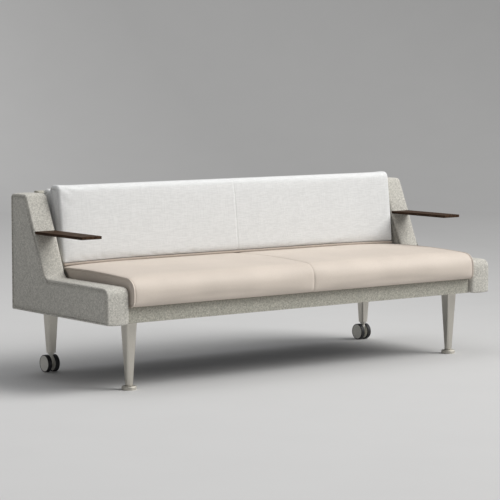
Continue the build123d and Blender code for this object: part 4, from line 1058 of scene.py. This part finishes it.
inside = framed_depth(panel_grid[..., 0], panel_grid[..., 2], panel_half, panel_top, PANEL_ROUND)
roll = np.clip(inside / ROLL_REACH, 0, 1)
panel_grid[..., 1] += ROLL_DEPTH * (1 - np.sqrt(1 - (1 - roll) ** 2))
panel_grid[..., 1] -= PANEL_SWELL * (1 - np.exp(-((inside / SWELL_REACH) ** 2)))
high, wide = panel_grid.shape[:2]
panel_points = panel_grid.reshape(-1, 3)
panel_faces = [
    (r * wide + c, r * wide + c + 1, (r + 1) * wide + c + 1, (r + 1) * wide + c)
    for r in range(high - 1)
    for c in range(wide - 1)
]
panel = make_piece("dark_back_panel", panel_points, panel_faces)
thick = panel.modifiers.new("board", "SOLIDIFY")
thick.thickness = BOARD_THICKNESS
thick.offset = -1.0
wear(panel, PANEL_CLOTH, "frame")
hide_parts("back_panel")
print(panel.name, len(panel_points), "points")

# %% [markdown]
# The front rail
#
# Under the cushion a low rail closes the front of the frame. It is wood wrapped in thin foam and the
# flecked cloth, pulled tight round the bottom, where a fine cord of the same cloth hides the staples. A
# bevelled box would look alike, but the form tool also gives it the soft bulge of foam at its top.

# %% Build the rail and its cord
rail_low, rail_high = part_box("front_rail")
RAIL_FOAM = 0.008
RAIL_FRONT = rail_low.y - RAIL_FOAM
RAIL_STATION_STEP, RAIL_EDGE = 0.02, 0.002
CORD_RADIUS = 0.0022
RAIL_CORNERS = [
    (RAIL_FRONT, rail_low.z, 0.005, 0.0),
    (rail_high.y, rail_low.z, 0.003, 0.0),
    (rail_high.y, rail_high.z, 0.003, 0.0),
    (RAIL_FRONT, rail_high.z, 0.007, 0.0015),
]
RAIL_COUNTS = [6, 10, 6, 10]
CORD_OUT, CORD_UP = 0.001, 0.002
CORD_STEPS = 60

rail_stations = even_stations(rail_high.x, RAIL_STATION_STEP, RAIL_EDGE)
rail = build_form("front_rail_cloth", rail_stations, RAIL_CORNERS, RAIL_COUNTS, BOX_MARKS)[0]
refine(rail)
wear(rail, FLECKED, "frame")
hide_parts("front_rail")
cord_x = np.linspace(-rail_high.x, rail_high.x, CORD_STEPS)
cord_line = [(x, RAIL_FRONT + CORD_OUT, rail_low.z + CORD_UP) for x in cord_x]
wear(tube_along("front_rail_cord", cord_line, CORD_RADIUS), FLECKED, "frame")
print(rail.name, len(rail.data.vertices), "points")

# %% [markdown]
# The seat cushion
#
# One long block of foam in a coated cover. The front rolls over like a waterfall and tucks under. The
# top is slightly crowned and falls a little towards its ends. One seam crosses it in the middle, and at
# each end a piped seam is followed by a pressed line a centimetre in. Sculpting could give the same
# swelling, but the solver, with the seams held, puts it where the cloth is free. Afterwards the cover is
# kept within the size of the measured cushion, so that it clears the arms and the mattress.

# %% Side view and stations of the seat cushion
cushion_low, cushion_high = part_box("seat_cushion")
front_low, front_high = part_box("front_pad")
SWELL_ROOM = 0.003
CUSHION_FRONT, CUSHION_REAR = cushion_low.y, cushion_high.y
CUSHION_FOOT = cushion_low.z
SEAT_FRONT_TOP = UNDERSIDE + 0.195
SEAT_REAR_TOP = UNDERSIDE + 0.197
SEAT_CROWN = 0.008
SEAT_END_DROP = 0.009
SEAT_DROP_START = 0.55
SEAT_HALF = cushion_high.x
SEAT_EDGE = 0.005
END_SEAM = SEAT_HALF - 0.0105
NOSE_REACH = 0.005
SEAT_CORNERS = [
    (CUSHION_FRONT + SWELL_ROOM - 0.5 * NOSE_REACH, CUSHION_FOOT + 0.001, 0.022, 0.0),
    (CUSHION_REAR - SWELL_ROOM, CUSHION_FOOT + 0.001, 0.008, 0.0),
    (CUSHION_REAR - SWELL_ROOM, SEAT_REAR_TOP - SWELL_ROOM, 0.015, SEAT_CROWN),
    (CUSHION_FRONT + SWELL_ROOM - NOSE_REACH, SEAT_FRONT_TOP - SWELL_ROOM, 0.056, 0.001),
]


def end_drop(x):
    """Say how far the top of the cushion has fallen at an x, towards its ends."""
    start = SEAT_HALF * SEAT_DROP_START
    return SEAT_END_DROP * max(0.0, (abs(x) - start) / (SEAT_HALF - start)) ** 2


def lower_ends(x, ring):
    """Let the top of the cushion fall a little towards its ends."""
    share = (ring[:, 1] - CUSHION_FOOT) / (SEAT_FRONT_TOP - CUSHION_FOOT)
    ring[:, 1] -= end_drop(x) * np.clip(share, 0, 1)


# middle and half width of the close rows at each seam
SEAT_SEAMS = ((-END_SEAM, 0.003), (0.0, 0.006), (END_SEAM, 0.003))
SEAT_STATION_STEP = 0.013
SEAT_GROOVE = 0.003
SEAT_END_ROOM = 0.001
seat_stations = even_stations(
    SEAT_HALF - SEAT_END_ROOM, SEAT_STATION_STEP, SEAT_EDGE, SEAT_SEAMS, groove=SEAT_GROOVE
)
print(len(seat_stations), "stations along the cushion")

# %% Build and swell the seat cushion
SEAT_COUNTS = [44, 6, 44, 6]
SEAT_PRESSURE = 3.0
SEAT_SWELL = 0.004
HELD_AT_MIDDLE, HELD_AT_ENDS, HELD_BELOW = 0.002, 0.001, 0.004

seat, seat_rings = build_form(
    "seat_cushion_cover", seat_stations, SEAT_CORNERS, SEAT_COUNTS, BOX_MARKS, lower_ends
)
places = places_of(seat)
from_middle = np.abs(places[:, 0])
on_seam = (from_middle < HELD_AT_MIDDLE) | (from_middle > END_SEAM - HELD_AT_ENDS)
under = places[:, 2] < CUSHION_FOOT + HELD_BELOW
swell(seat, np.nonzero(on_seam | under)[0], SEAT_PRESSURE, SEAT_SWELL)
print(seat.name, len(seat.data.vertices), "points, of which", int((on_seam | under).sum()), "held")

# %% Keep the cushion within its size and press its seams in
CROWN_FRONT = CUSHION_FRONT + 0.06
CROWN_REAR = CUSHION_REAR - 0.015
MIDDLE_SEAM_WIDTH, MIDDLE_SEAM_DEPTH = 0.0035, 0.003
END_SEAM_WIDTH, END_SEAM_DEPTH = 0.0022, 0.0026
# below the mattress the middle seam fades out
SEAM_FADE, SEAM_FADE_START = 0.3, 0.04

places = places_of(seat)
ceiling = np.interp(places[:, 1], (CROWN_FRONT, CROWN_REAR), (SEAT_FRONT_TOP, SEAT_REAR_TOP))
crown_share = np.clip((places[:, 1] - CROWN_FRONT) / (CROWN_REAR - CROWN_FRONT), 0, 1)
ceiling += SEAT_CROWN * 4 * crown_share * (1 - crown_share)
places[:, 2] = np.clip(places[:, 2], CUSHION_FOOT, ceiling)
places[:, 0] = np.clip(places[:, 0], -SEAT_HALF - SEAT_END_ROOM, SEAT_HALF + SEAT_END_ROOM)
places[:, 1] = np.minimum(places[:, 1], CUSHION_REAR)
move_points(seat, places)
from_middle = np.abs(places[:, 0])
under_mattress = np.clip(places[:, 1] - front_low.y + SEAM_FADE_START, 0, None)
press_seam(seat, from_middle + SEAM_FADE * under_mattress, MIDDLE_SEAM_WIDTH, MIDDLE_SEAM_DEPTH)
press_seam(seat, np.abs(from_middle - END_SEAM), END_SEAM_WIDTH, END_SEAM_DEPTH)
refine(seat)
wear(seat, SEAT_CLOTH, "frame")
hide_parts("seat_cushion")
print(seat.name, "top at", round(float(places[:, 2].max()), 4))

# %% Pipe both ends of the seat cushion
PIPING_INSET = 0.0035
PIPING_STEP = 0.008
PIPING_RADIUS = 0.0024

piped_x = SEAT_HALF - PIPING_INSET
points_in_row = len(seat_rings[0])
for name, x in (("left", -piped_x), ("right", piped_x)):
    row = int(np.argmin([abs(station_x - x) for station_x, _ in seat_stations]))
    line = places_of(seat)[row * points_in_row : (row + 1) * points_in_row]
    piping_line = even_line(np.vstack((line, line[:1])), PIPING_STEP)
    piping = tube_along(f"seat_{name}_piping", piping_line, PIPING_RADIUS)
    wear(piping, SEAT_CLOTH, "frame")
    print(piping.name, len(piping_line), "points along")

# %% [markdown]
# The folded mattress
#
# Two pads of foam in off-white linen, joined by a tan strip along the bottom. Each pad is a box cushion
# with sewn ends, and one seam crosses each of its faces in the middle. The thick pad stands in front and
# can fold forward over the seat, the thin one leans on the back rest. Linen is softer than the coated
# cloth, so the solver may let it grow by a few thousandths, which fills the pads and leaves soft waves
# beside the seams. The pads also sag with the seat below them, which is lower at its ends.

# %% Sizes of the mattress from the measured boxes
rear_low, rear_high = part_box("rear_pad")
PAD_HALF = front_high.x
PAD_EDGE = 0.014
PAD_SAG = 0.8
FRONT_FOOT_DEPTH = 0.070
FRONT_TOP_DEPTH = 0.081
front_rear_foot = front_low.y + FRONT_FOOT_DEPTH
front_rear_top = front_high.y
FRONT_PAD_CORNERS = [
    (front_low.y + 0.002, front_low.z + 0.001, 0.009, 0.0),
    (front_rear_foot - 0.001, front_low.z + 0.001, 0.014, 0.0),
    (front_rear_top - 0.001, front_high.z - 0.002, 0.026, 0.0),
    (front_rear_top - FRONT_TOP_DEPTH + 0.002, front_high.z - 0.002, 0.026, 0.002),
]
REAR_PAD_CORNERS = [
    (rear_high.y - 0.1085, rear_low.z + 0.0005, 0.006, 0.0),
    (rear_high.y - 0.075, rear_low.z + 0.0005, 0.006, 0.0),
    (rear_high.y - 0.001, rear_high.z - 0.001, 0.021, 0.0),
    (rear_high.y - 0.058 + 0.001, rear_high.z - 0.001, 0.021, 0.0),
]
print("front pad", [round(v, 4) for v in (*front_low, *front_high)])
print("rear pad", [round(v, 4) for v in (*rear_low, *rear_high)])

# %% Build and swell both pads
PAD_STATION_STEP = 0.0125
PAD_GROOVE = 0.006
PAD_END_ROOM = 0.001
PAD_SEAM, PAD_SEAM_REACH = 0.0, 0.006
PAD_SEAM_WIDTH, PAD_SEAM_DEPTH = 0.0025, 0.0014
PAD_PRESSURE = 3.0
PAD_HELD_BELOW = 0.003
PAD_SINK = 0.0005
LINEN_GROWTH = 0.004


def make_pad(name, node, corners, counts, body, reach):
    """Make one linen pad, blow it up and press its middle seam in."""
    seams = ((PAD_SEAM, PAD_SEAM_REACH),)
    stations = even_stations(PAD_HALF - PAD_END_ROOM, PAD_STATION_STEP, PAD_EDGE, seams, groove=PAD_GROOVE)
    foot, height = corners[0][1], corners[2][1] - corners[0][1]

    def settle(x, ring):
        ring[:, 1] -= end_drop(x) * PAD_SAG * np.clip(1 - (ring[:, 1] - foot) / height, 0, 1)

    pad = build_form(name, stations, corners, counts, BOX_MARKS, settle)[0]
    places = places_of(pad)
    floor_line = foot - PAD_SAG * np.array([end_drop(x) for x in places[:, 0]])
    held = (np.abs(places[:, 0]) > PAD_HALF - PAD_EDGE) | (places[:, 2] < floor_line + PAD_HELD_BELOW)
    swell(pad, np.nonzero(held)[0], PAD_PRESSURE, reach, LINEN_GROWTH)
    places = places_of(pad)
    places[:, 2] = np.maximum(places[:, 2], floor_line - PAD_SINK)
    move_points(pad, places)
    press_seam(pad, np.abs(places[:, 0] - PAD_SEAM), PAD_SEAM_WIDTH, PAD_SEAM_DEPTH)
    refine(pad)
    wear(pad, LINEN, body)
    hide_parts(node)
    print(pad.name, len(pad.data.vertices), "points")


make_pad("mattress_front_pad", "front_pad", FRONT_PAD_CORNERS, [6, 26, 6, 26], "front_pad", reach=0.004)
make_pad("mattress_rear_pad", "rear_pad", REAR_PAD_CORNERS, [3, 26, 3, 26], "mattress", reach=0.002)

# %% [markdown]
# The tan strip and the straps
#
# The strip is a thick twill that holds both pads along the bottom. It sags with them towards its ends,
# and a row of stitches runs along each of its edges. Each strap is a flat elastic that runs from the
# strip to its wire hook, and it stretches when the mattress is lifted.

# %% Build the strip
strip_low, strip_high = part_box("spine_strip")
STRIP_ROUND = 0.003
STRIP_STATION_STEP = 0.02
STRIP_STITCH_INSET = 0.006
STRIP_STITCH_END = 0.01
STRIP_STITCH_DROP = 0.0001
STRIP_STITCH_STEPS = 80
STRIP_STITCH_PITCH, STRIP_STITCH_RADIUS = 0.007, 0.0005
STRIP_CORNERS = [
    (strip_low.y, strip_low.z, STRIP_ROUND, 0.0),
    (strip_high.y, strip_low.z, STRIP_ROUND, 0.0),
    (strip_high.y, strip_high.z, STRIP_ROUND, 0.0),
    (strip_low.y, strip_high.z, STRIP_ROUND, 0.0),
]
STRIP_COUNTS = [16, 3, 16, 3]


def sink(x, ring):
    """Let the strip follow the cushion down at its ends."""
    ring[:, 1] -= end_drop(x) * PAD_SAG


strip_stations = even_stations(strip_high.x, STRIP_STATION_STEP, STRIP_ROUND)
strip = build_form("spine_strip_twill", strip_stations, STRIP_CORNERS, STRIP_COUNTS, BOX_MARKS, sink)[0]
refine(strip)
wear(strip, TWILL, "mattress")
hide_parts("spine_strip")
stitched_half = strip_high.x - STRIP_STITCH_END
stitched_x = np.linspace(-stitched_half, stitched_half, STRIP_STITCH_STEPS)
for name, y in (("front", strip_low.y + STRIP_STITCH_INSET), ("rear", strip_high.y - STRIP_STITCH_INSET)):
    line = [(x, y, strip_low.z - STRIP_STITCH_DROP - end_drop(x) * PAD_SAG) for x in stitched_x]
    thread = stitches(f"strip_{name}_stitches", line, STRIP_STITCH_PITCH, STRIP_STITCH_RADIUS)
    wear(thread, TWILL, "mattress")
print(strip.name, len(strip.data.vertices), "points")

# %% Build the straps
STRAP_TAPER = 0.12
STRAP_SIDES = 24
STRAP_ROWS = 40
# a power below 1 makes the section fuller, from an oval towards a box
FULL_ACROSS, FULL_THROUGH = 0.35, 0.8


def fuller(value, power):
    """Move a sine or cosine towards 1 or -1."""
    return math.copysign(abs(value) ** power, value)


def make_strap(name):
    """Make one elastic strap with rounded edges, a little narrower at the top."""
    low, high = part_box(f"{name}_strap")
    middle_x, middle_y = (low.x + high.x) / 2, (low.y + high.y) / 2
    half_wide, half_thick = (high.x - low.x) / 2, (high.y - low.y) / 2
    points = []
    for row in range(STRAP_ROWS + 1):
        share = row / STRAP_ROWS
        narrow = 1 - STRAP_TAPER * share
        for turn in np.linspace(0, 2 * math.pi, STRAP_SIDES, endpoint=False):
            x = fuller(math.cos(turn), FULL_ACROSS) * half_wide * narrow
            y = fuller(math.sin(turn), FULL_THROUGH) * half_thick
            points.append((middle_x + x, middle_y + y, low.z + (high.z - low.z) * share))
    faces = tube_faces(0, STRAP_ROWS + 1, STRAP_SIDES)
    strap = make_piece(f"{name}_elastic_strap", points, faces)
    strap.data.materials.append(WEBBING)
    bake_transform(strap)
    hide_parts(f"{name}_strap")
    print(strap.name, "from", round(low.z, 4), "to", round(high.z, 4))


for strap_name in ("left", "middle", "right"):
    make_strap(strap_name)

# %% [markdown]
# The dust cloth
#
# A black fleece closes the frame from below. It is one sheet, cut out round the leg plates, pulled tight
# over the beams and stapled along its edge, so it hangs only a couple of millimetres in the middle and
# dimples a little between the staples. A sheet that is pulled this tight needs no solver: its sag is
# worked out from the distance to its edges. The grid has a line along every cut, so each hole is square.

# %% Grid of the dust cloth, cut round the leg plates
dust_low, dust_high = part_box("dust_cloth")
PLATE_MARGIN = 0.002
DUST_GRID = 0.014

cuts = []
for plate in [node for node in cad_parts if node.endswith("leg_plate")]:
    low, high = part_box(plate)
    grow = Vector((PLATE_MARGIN, PLATE_MARGIN, 0))
    cuts.append((low - grow, high + grow))


def in_cut(x, y, room=0.0):
    """Say whether a place lies in one of the cuts round the leg plates."""
    return any(low.x - room < x < high.x + room and low.y - room < y < high.y + room for low, high in cuts)


def grid_lines(low, high, marks):
    """Give even grid lines between two edges, with one on every mark."""
    stops = sorted({round(mark, 5) for mark in (low, high, *marks) if low <= mark <= high})
    lines = []
    for start, stop in zip(stops, stops[1:]):
        steps = max(1, round((stop - start) / DUST_GRID))
        lines += [start + (stop - start) * step / steps for step in range(steps)]
    return lines + [stops[-1]]


dust_x = grid_lines(dust_low.x, dust_high.x, [corner.x for cut in cuts for corner in cut])
dust_y = grid_lines(dust_low.y, dust_high.y, [corner.y for cut in cuts for corner in cut])
print("the sheet has", len(dust_x), "by", len(dust_y), "grid lines and", len(cuts), "cuts")

# %% Sheet of fleece
DUST_THICKNESS = 0.0008
DUST_GAP = 0.0001
DUST_SAG = 0.0022
SAG_RUN = 0.3
DIMPLE = 0.0004
DIMPLE_REACH = 0.025
STAPLE_PITCH = 0.060


def dust_height(x, y):
    """Give the height of the sheet, which sags in its middle and dimples along its edge."""
    to_edge = min(x - dust_low.x, dust_high.x - x, y - dust_low.y, dust_high.y - y)
    across = (y - dust_low.y) / (dust_high.y - dust_low.y)
    along = min(1.0, (dust_high.x - abs(x)) / SAG_RUN)
    sag = DUST_SAG * 4 * across * (1 - across) * along * (2 - along)
    dimple = DIMPLE * math.cos(2 * math.pi * (x + y) / STAPLE_PITCH) * math.exp(-to_edge / DIMPLE_REACH)
    return dust_high.z - DIMPLE - DUST_GAP - sag + dimple


dust_points = [(x, y, dust_height(x, y)) for y in dust_y for x in dust_x]
dust_faces, dust_area = [], 0.0
for row, (y, next_y) in enumerate(zip(dust_y, dust_y[1:])):
    for column, (x, next_x) in enumerate(zip(dust_x, dust_x[1:])):
        if not in_cut((x + next_x) / 2, (y + next_y) / 2):
            first = row * len(dust_x) + column
            dust_faces.append((first, first + len(dust_x), first + len(dust_x) + 1, first + 1))
            dust_area += (next_x - x) * (next_y - y)
used = sorted({point for face in dust_faces for point in face})
renumbered = {old: new for new, old in enumerate(used)}
dust_faces = [tuple(renumbered[point] for point in face) for face in dust_faces]
dust = make_piece("dust_fleece_sheet", [dust_points[point] for point in used], dust_faces)
fleece_board = dust.modifiers.new("fleece_thickness", "SOLIDIFY")
fleece_board.thickness = DUST_THICKNESS
fleece_board.offset = 1.0
wear(dust, FLEECE, "frame")
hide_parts("dust_cloth")
print(dust.name, len(dust_faces), "faces,", round(dust_area, 3), "square metres")

# %% Staples along the edge
STAPLE_INSET = 0.0065
STAPLE_ROOM = 0.006
STAPLE_DROP = 0.0005
STAPLE_RADIUS = 0.0006
STAPLE_SHAPE = ((0.42, 0.2), (0.44, 1.0), (0.56, 1.0), (0.58, 0.2))

staple_height = dust_high.z - DUST_THICKNESS - STAPLE_DROP
edge_x = dust_high.x - STAPLE_INSET
front_y, rear_y = dust_low.y + STAPLE_INSET, dust_high.y - STAPLE_INSET
edge_corners = [(-edge_x, front_y), (edge_x, front_y), (edge_x, rear_y), (-edge_x, rear_y)]
spans = []
for start, stop in zip(edge_corners, edge_corners[1:] + edge_corners[:1]):
    marks = even_line([(*start, staple_height), (*stop, staple_height)], STAPLE_PITCH)
    for a, b in zip(marks, marks[1:]):
        if not in_cut(*((a + b) / 2)[:2], room=STAPLE_ROOM):
            spans.append((a, b))
staples = short_threads("dust_cloth_staples", spans, STAPLE_RADIUS, STAPLE_SHAPE)
wear(staples, ZINC, "frame")

# %% [markdown]
# The studio
#
# The floor is pale and curves up far away on every side, so that no horizon shows from any angle, also
# for a camera that stands low at the side of the sofa. One paint covers it, with painted shade that fades
# slowly across the studio, from light to grey. Lights could make that shade as well, but painted shade keeps
# it when a light moves.
# Only the camera sees the curved part, so the even light from all round comes through it.

# %% Paint with painted shade that fades across the studio
FADE_REACH = 9.0
FADE_START = -1.6
FADE_WAY = (0.94, -0.342, 0.5)
PAINT_TONE, PAINT_ROUGHNESS = 0.575, 0.85
# share of the way across, and how pale the paint is there with its painted shade
PAINTED_SHADE_TONES = (
    (0.0, 0.590),
    (0.14, 0.572),
    (0.277, 0.560),
    (0.414, 0.484),
    (0.551, 0.428),
    (0.688, 0.418),
    (0.826, 0.401),
    (0.963, 0.376),
)

paint, paint_tree, paint_shader = start_finish("studio_paint_painted_shade", (PAINT_TONE,) * 3, PAINT_ROUGHNESS)
across_studio = paint_tree.nodes.new("ShaderNodeVectorMath")
across_studio.operation = "DOT_PRODUCT"
across_studio.inputs[1].default_value = [step / FADE_REACH for step in FADE_WAY]
paint_tree.links.new(stretched_place(paint_tree, (1, 1, 1)), across_studio.inputs[0])
fade = combine(paint_tree, "SUBTRACT", across_studio.outputs["Value"], FADE_START / FADE_REACH)
# painted shade: the floor and backdrop grow darker towards the right, the back and the top
painted_shade = tones(paint_tree, fade, [(mark, (tone,) * 3) for mark, tone in PAINTED_SHADE_TONES])
mottle = tones(paint_tree, noise_at(paint_tree, 3.0), [(0.3, (0.985,) * 3), (0.7, (1.0,) * 3)])
paint_tree.links.new(tint(paint_tree, painted_shade, mottle), paint_shader.inputs["Base Color"])
print(paint.name, "fades over", FADE_REACH, "m")

# %% Floor and backdrop
FLOOR_REACH = 9.5
BOWL_REACH = 13.5
BOWL_CURVE = 4.0
BOWL_HEIGHT = 14.0
BOWL_ROWS = 14
FLOOR_RINGS = (0.001, 1.5, 3.5, 6.5, FLOOR_REACH)
SPIN_STEPS = 96


def spun(name, profile):
    """Spin a line of (radius, height) about the vertical axis."""
    turns = [2 * math.pi * k / SPIN_STEPS for k in range(SPIN_STEPS)]
    points = [(r * math.cos(turn), r * math.sin(turn), z) for r, z in profile for turn in turns]
    faces = []
    for row in range(len(profile) - 1):
        for k in range(SPIN_STEPS):
            a, b = row * SPIN_STEPS + k, row * SPIN_STEPS + (k + 1) % SPIN_STEPS
            faces.append((a, b, b + SPIN_STEPS, a + SPIN_STEPS))
    return make_piece(name, points, faces)


floor = spun("studio_floor", [(reach, 0) for reach in FLOOR_RINGS])
bowl_line = []
for turn in np.linspace(0, math.pi / 2, BOWL_ROWS):
    bowl_line.append((FLOOR_REACH + BOWL_CURVE * math.sin(turn), BOWL_CURVE * (1 - math.cos(turn))))
bowl_line.append((BOWL_REACH, BOWL_HEIGHT))
bowl = spun("studio_backdrop", bowl_line)
bowl.visible_diffuse = False
bowl.visible_glossy = False
bowl.visible_shadow = False
floor.data.materials.append(paint)
bowl.data.materials.append(paint)
print("floor reaches", FLOOR_REACH, "m, backdrop", BOWL_REACH, "m")

# %% [markdown]
# The lights
#
# A very large soft light hangs high on the right in front, far away, so that its shadows are soft and
# lie to the left. A small one over the sofa lifts the tops, and an even grey light comes from all round.
# A photographed sky would light the sofa too, but plain lights leave no pattern on it.

# %% Lights
LIGHT_AIM = (0, 0, 0.4)
KEY_PLACE, KEY_SIZE, KEY_POWER = (11.2, -8.8, 13.2), 12.8, 4200.0
TOP_PLACE, TOP_SIZE, TOP_POWER = (-0.5, 0.5, 5.5), 4.0, 62.0
WORLD_COLOUR = (0.98, 0.985, 1.0, 1.0)
WORLD_STRENGTH = 0.295
WARM_WHITE, PLAIN_WHITE = (1.0, 0.99, 0.97), (1.0, 1.0, 1.0)


def soft_light(name, place, size, power, colour):
    """Hang a square soft light and point it at the sofa."""
    data = bpy.data.lights.new(name, "AREA")
    data.size = size
    data.energy = power
    data.color = colour
    lamp = bpy.data.objects.new(name, data)
    lamp.location = place
    lamp.visible_camera = False
    lamp.rotation_euler = (Vector(LIGHT_AIM) - Vector(place)).to_track_quat("-Z", "Y").to_euler()
    bpy.context.collection.objects.link(lamp)


soft_light("key_softbox", KEY_PLACE, KEY_SIZE, KEY_POWER, WARM_WHITE)
soft_light("top_softbox", TOP_PLACE, TOP_SIZE, TOP_POWER, PLAIN_WHITE)
world = bpy.data.worlds.new("even_studio_light")
world.use_nodes = True
world.node_tree.nodes["Background"].inputs["Color"].default_value = WORLD_COLOUR
world.node_tree.nodes["Background"].inputs["Strength"].default_value = WORLD_STRENGTH
bpy.context.scene.world = world
bpy.context.scene.view_settings.view_transform = "Standard"
print("key light of", KEY_SIZE, "m, top light of", TOP_SIZE, "m")
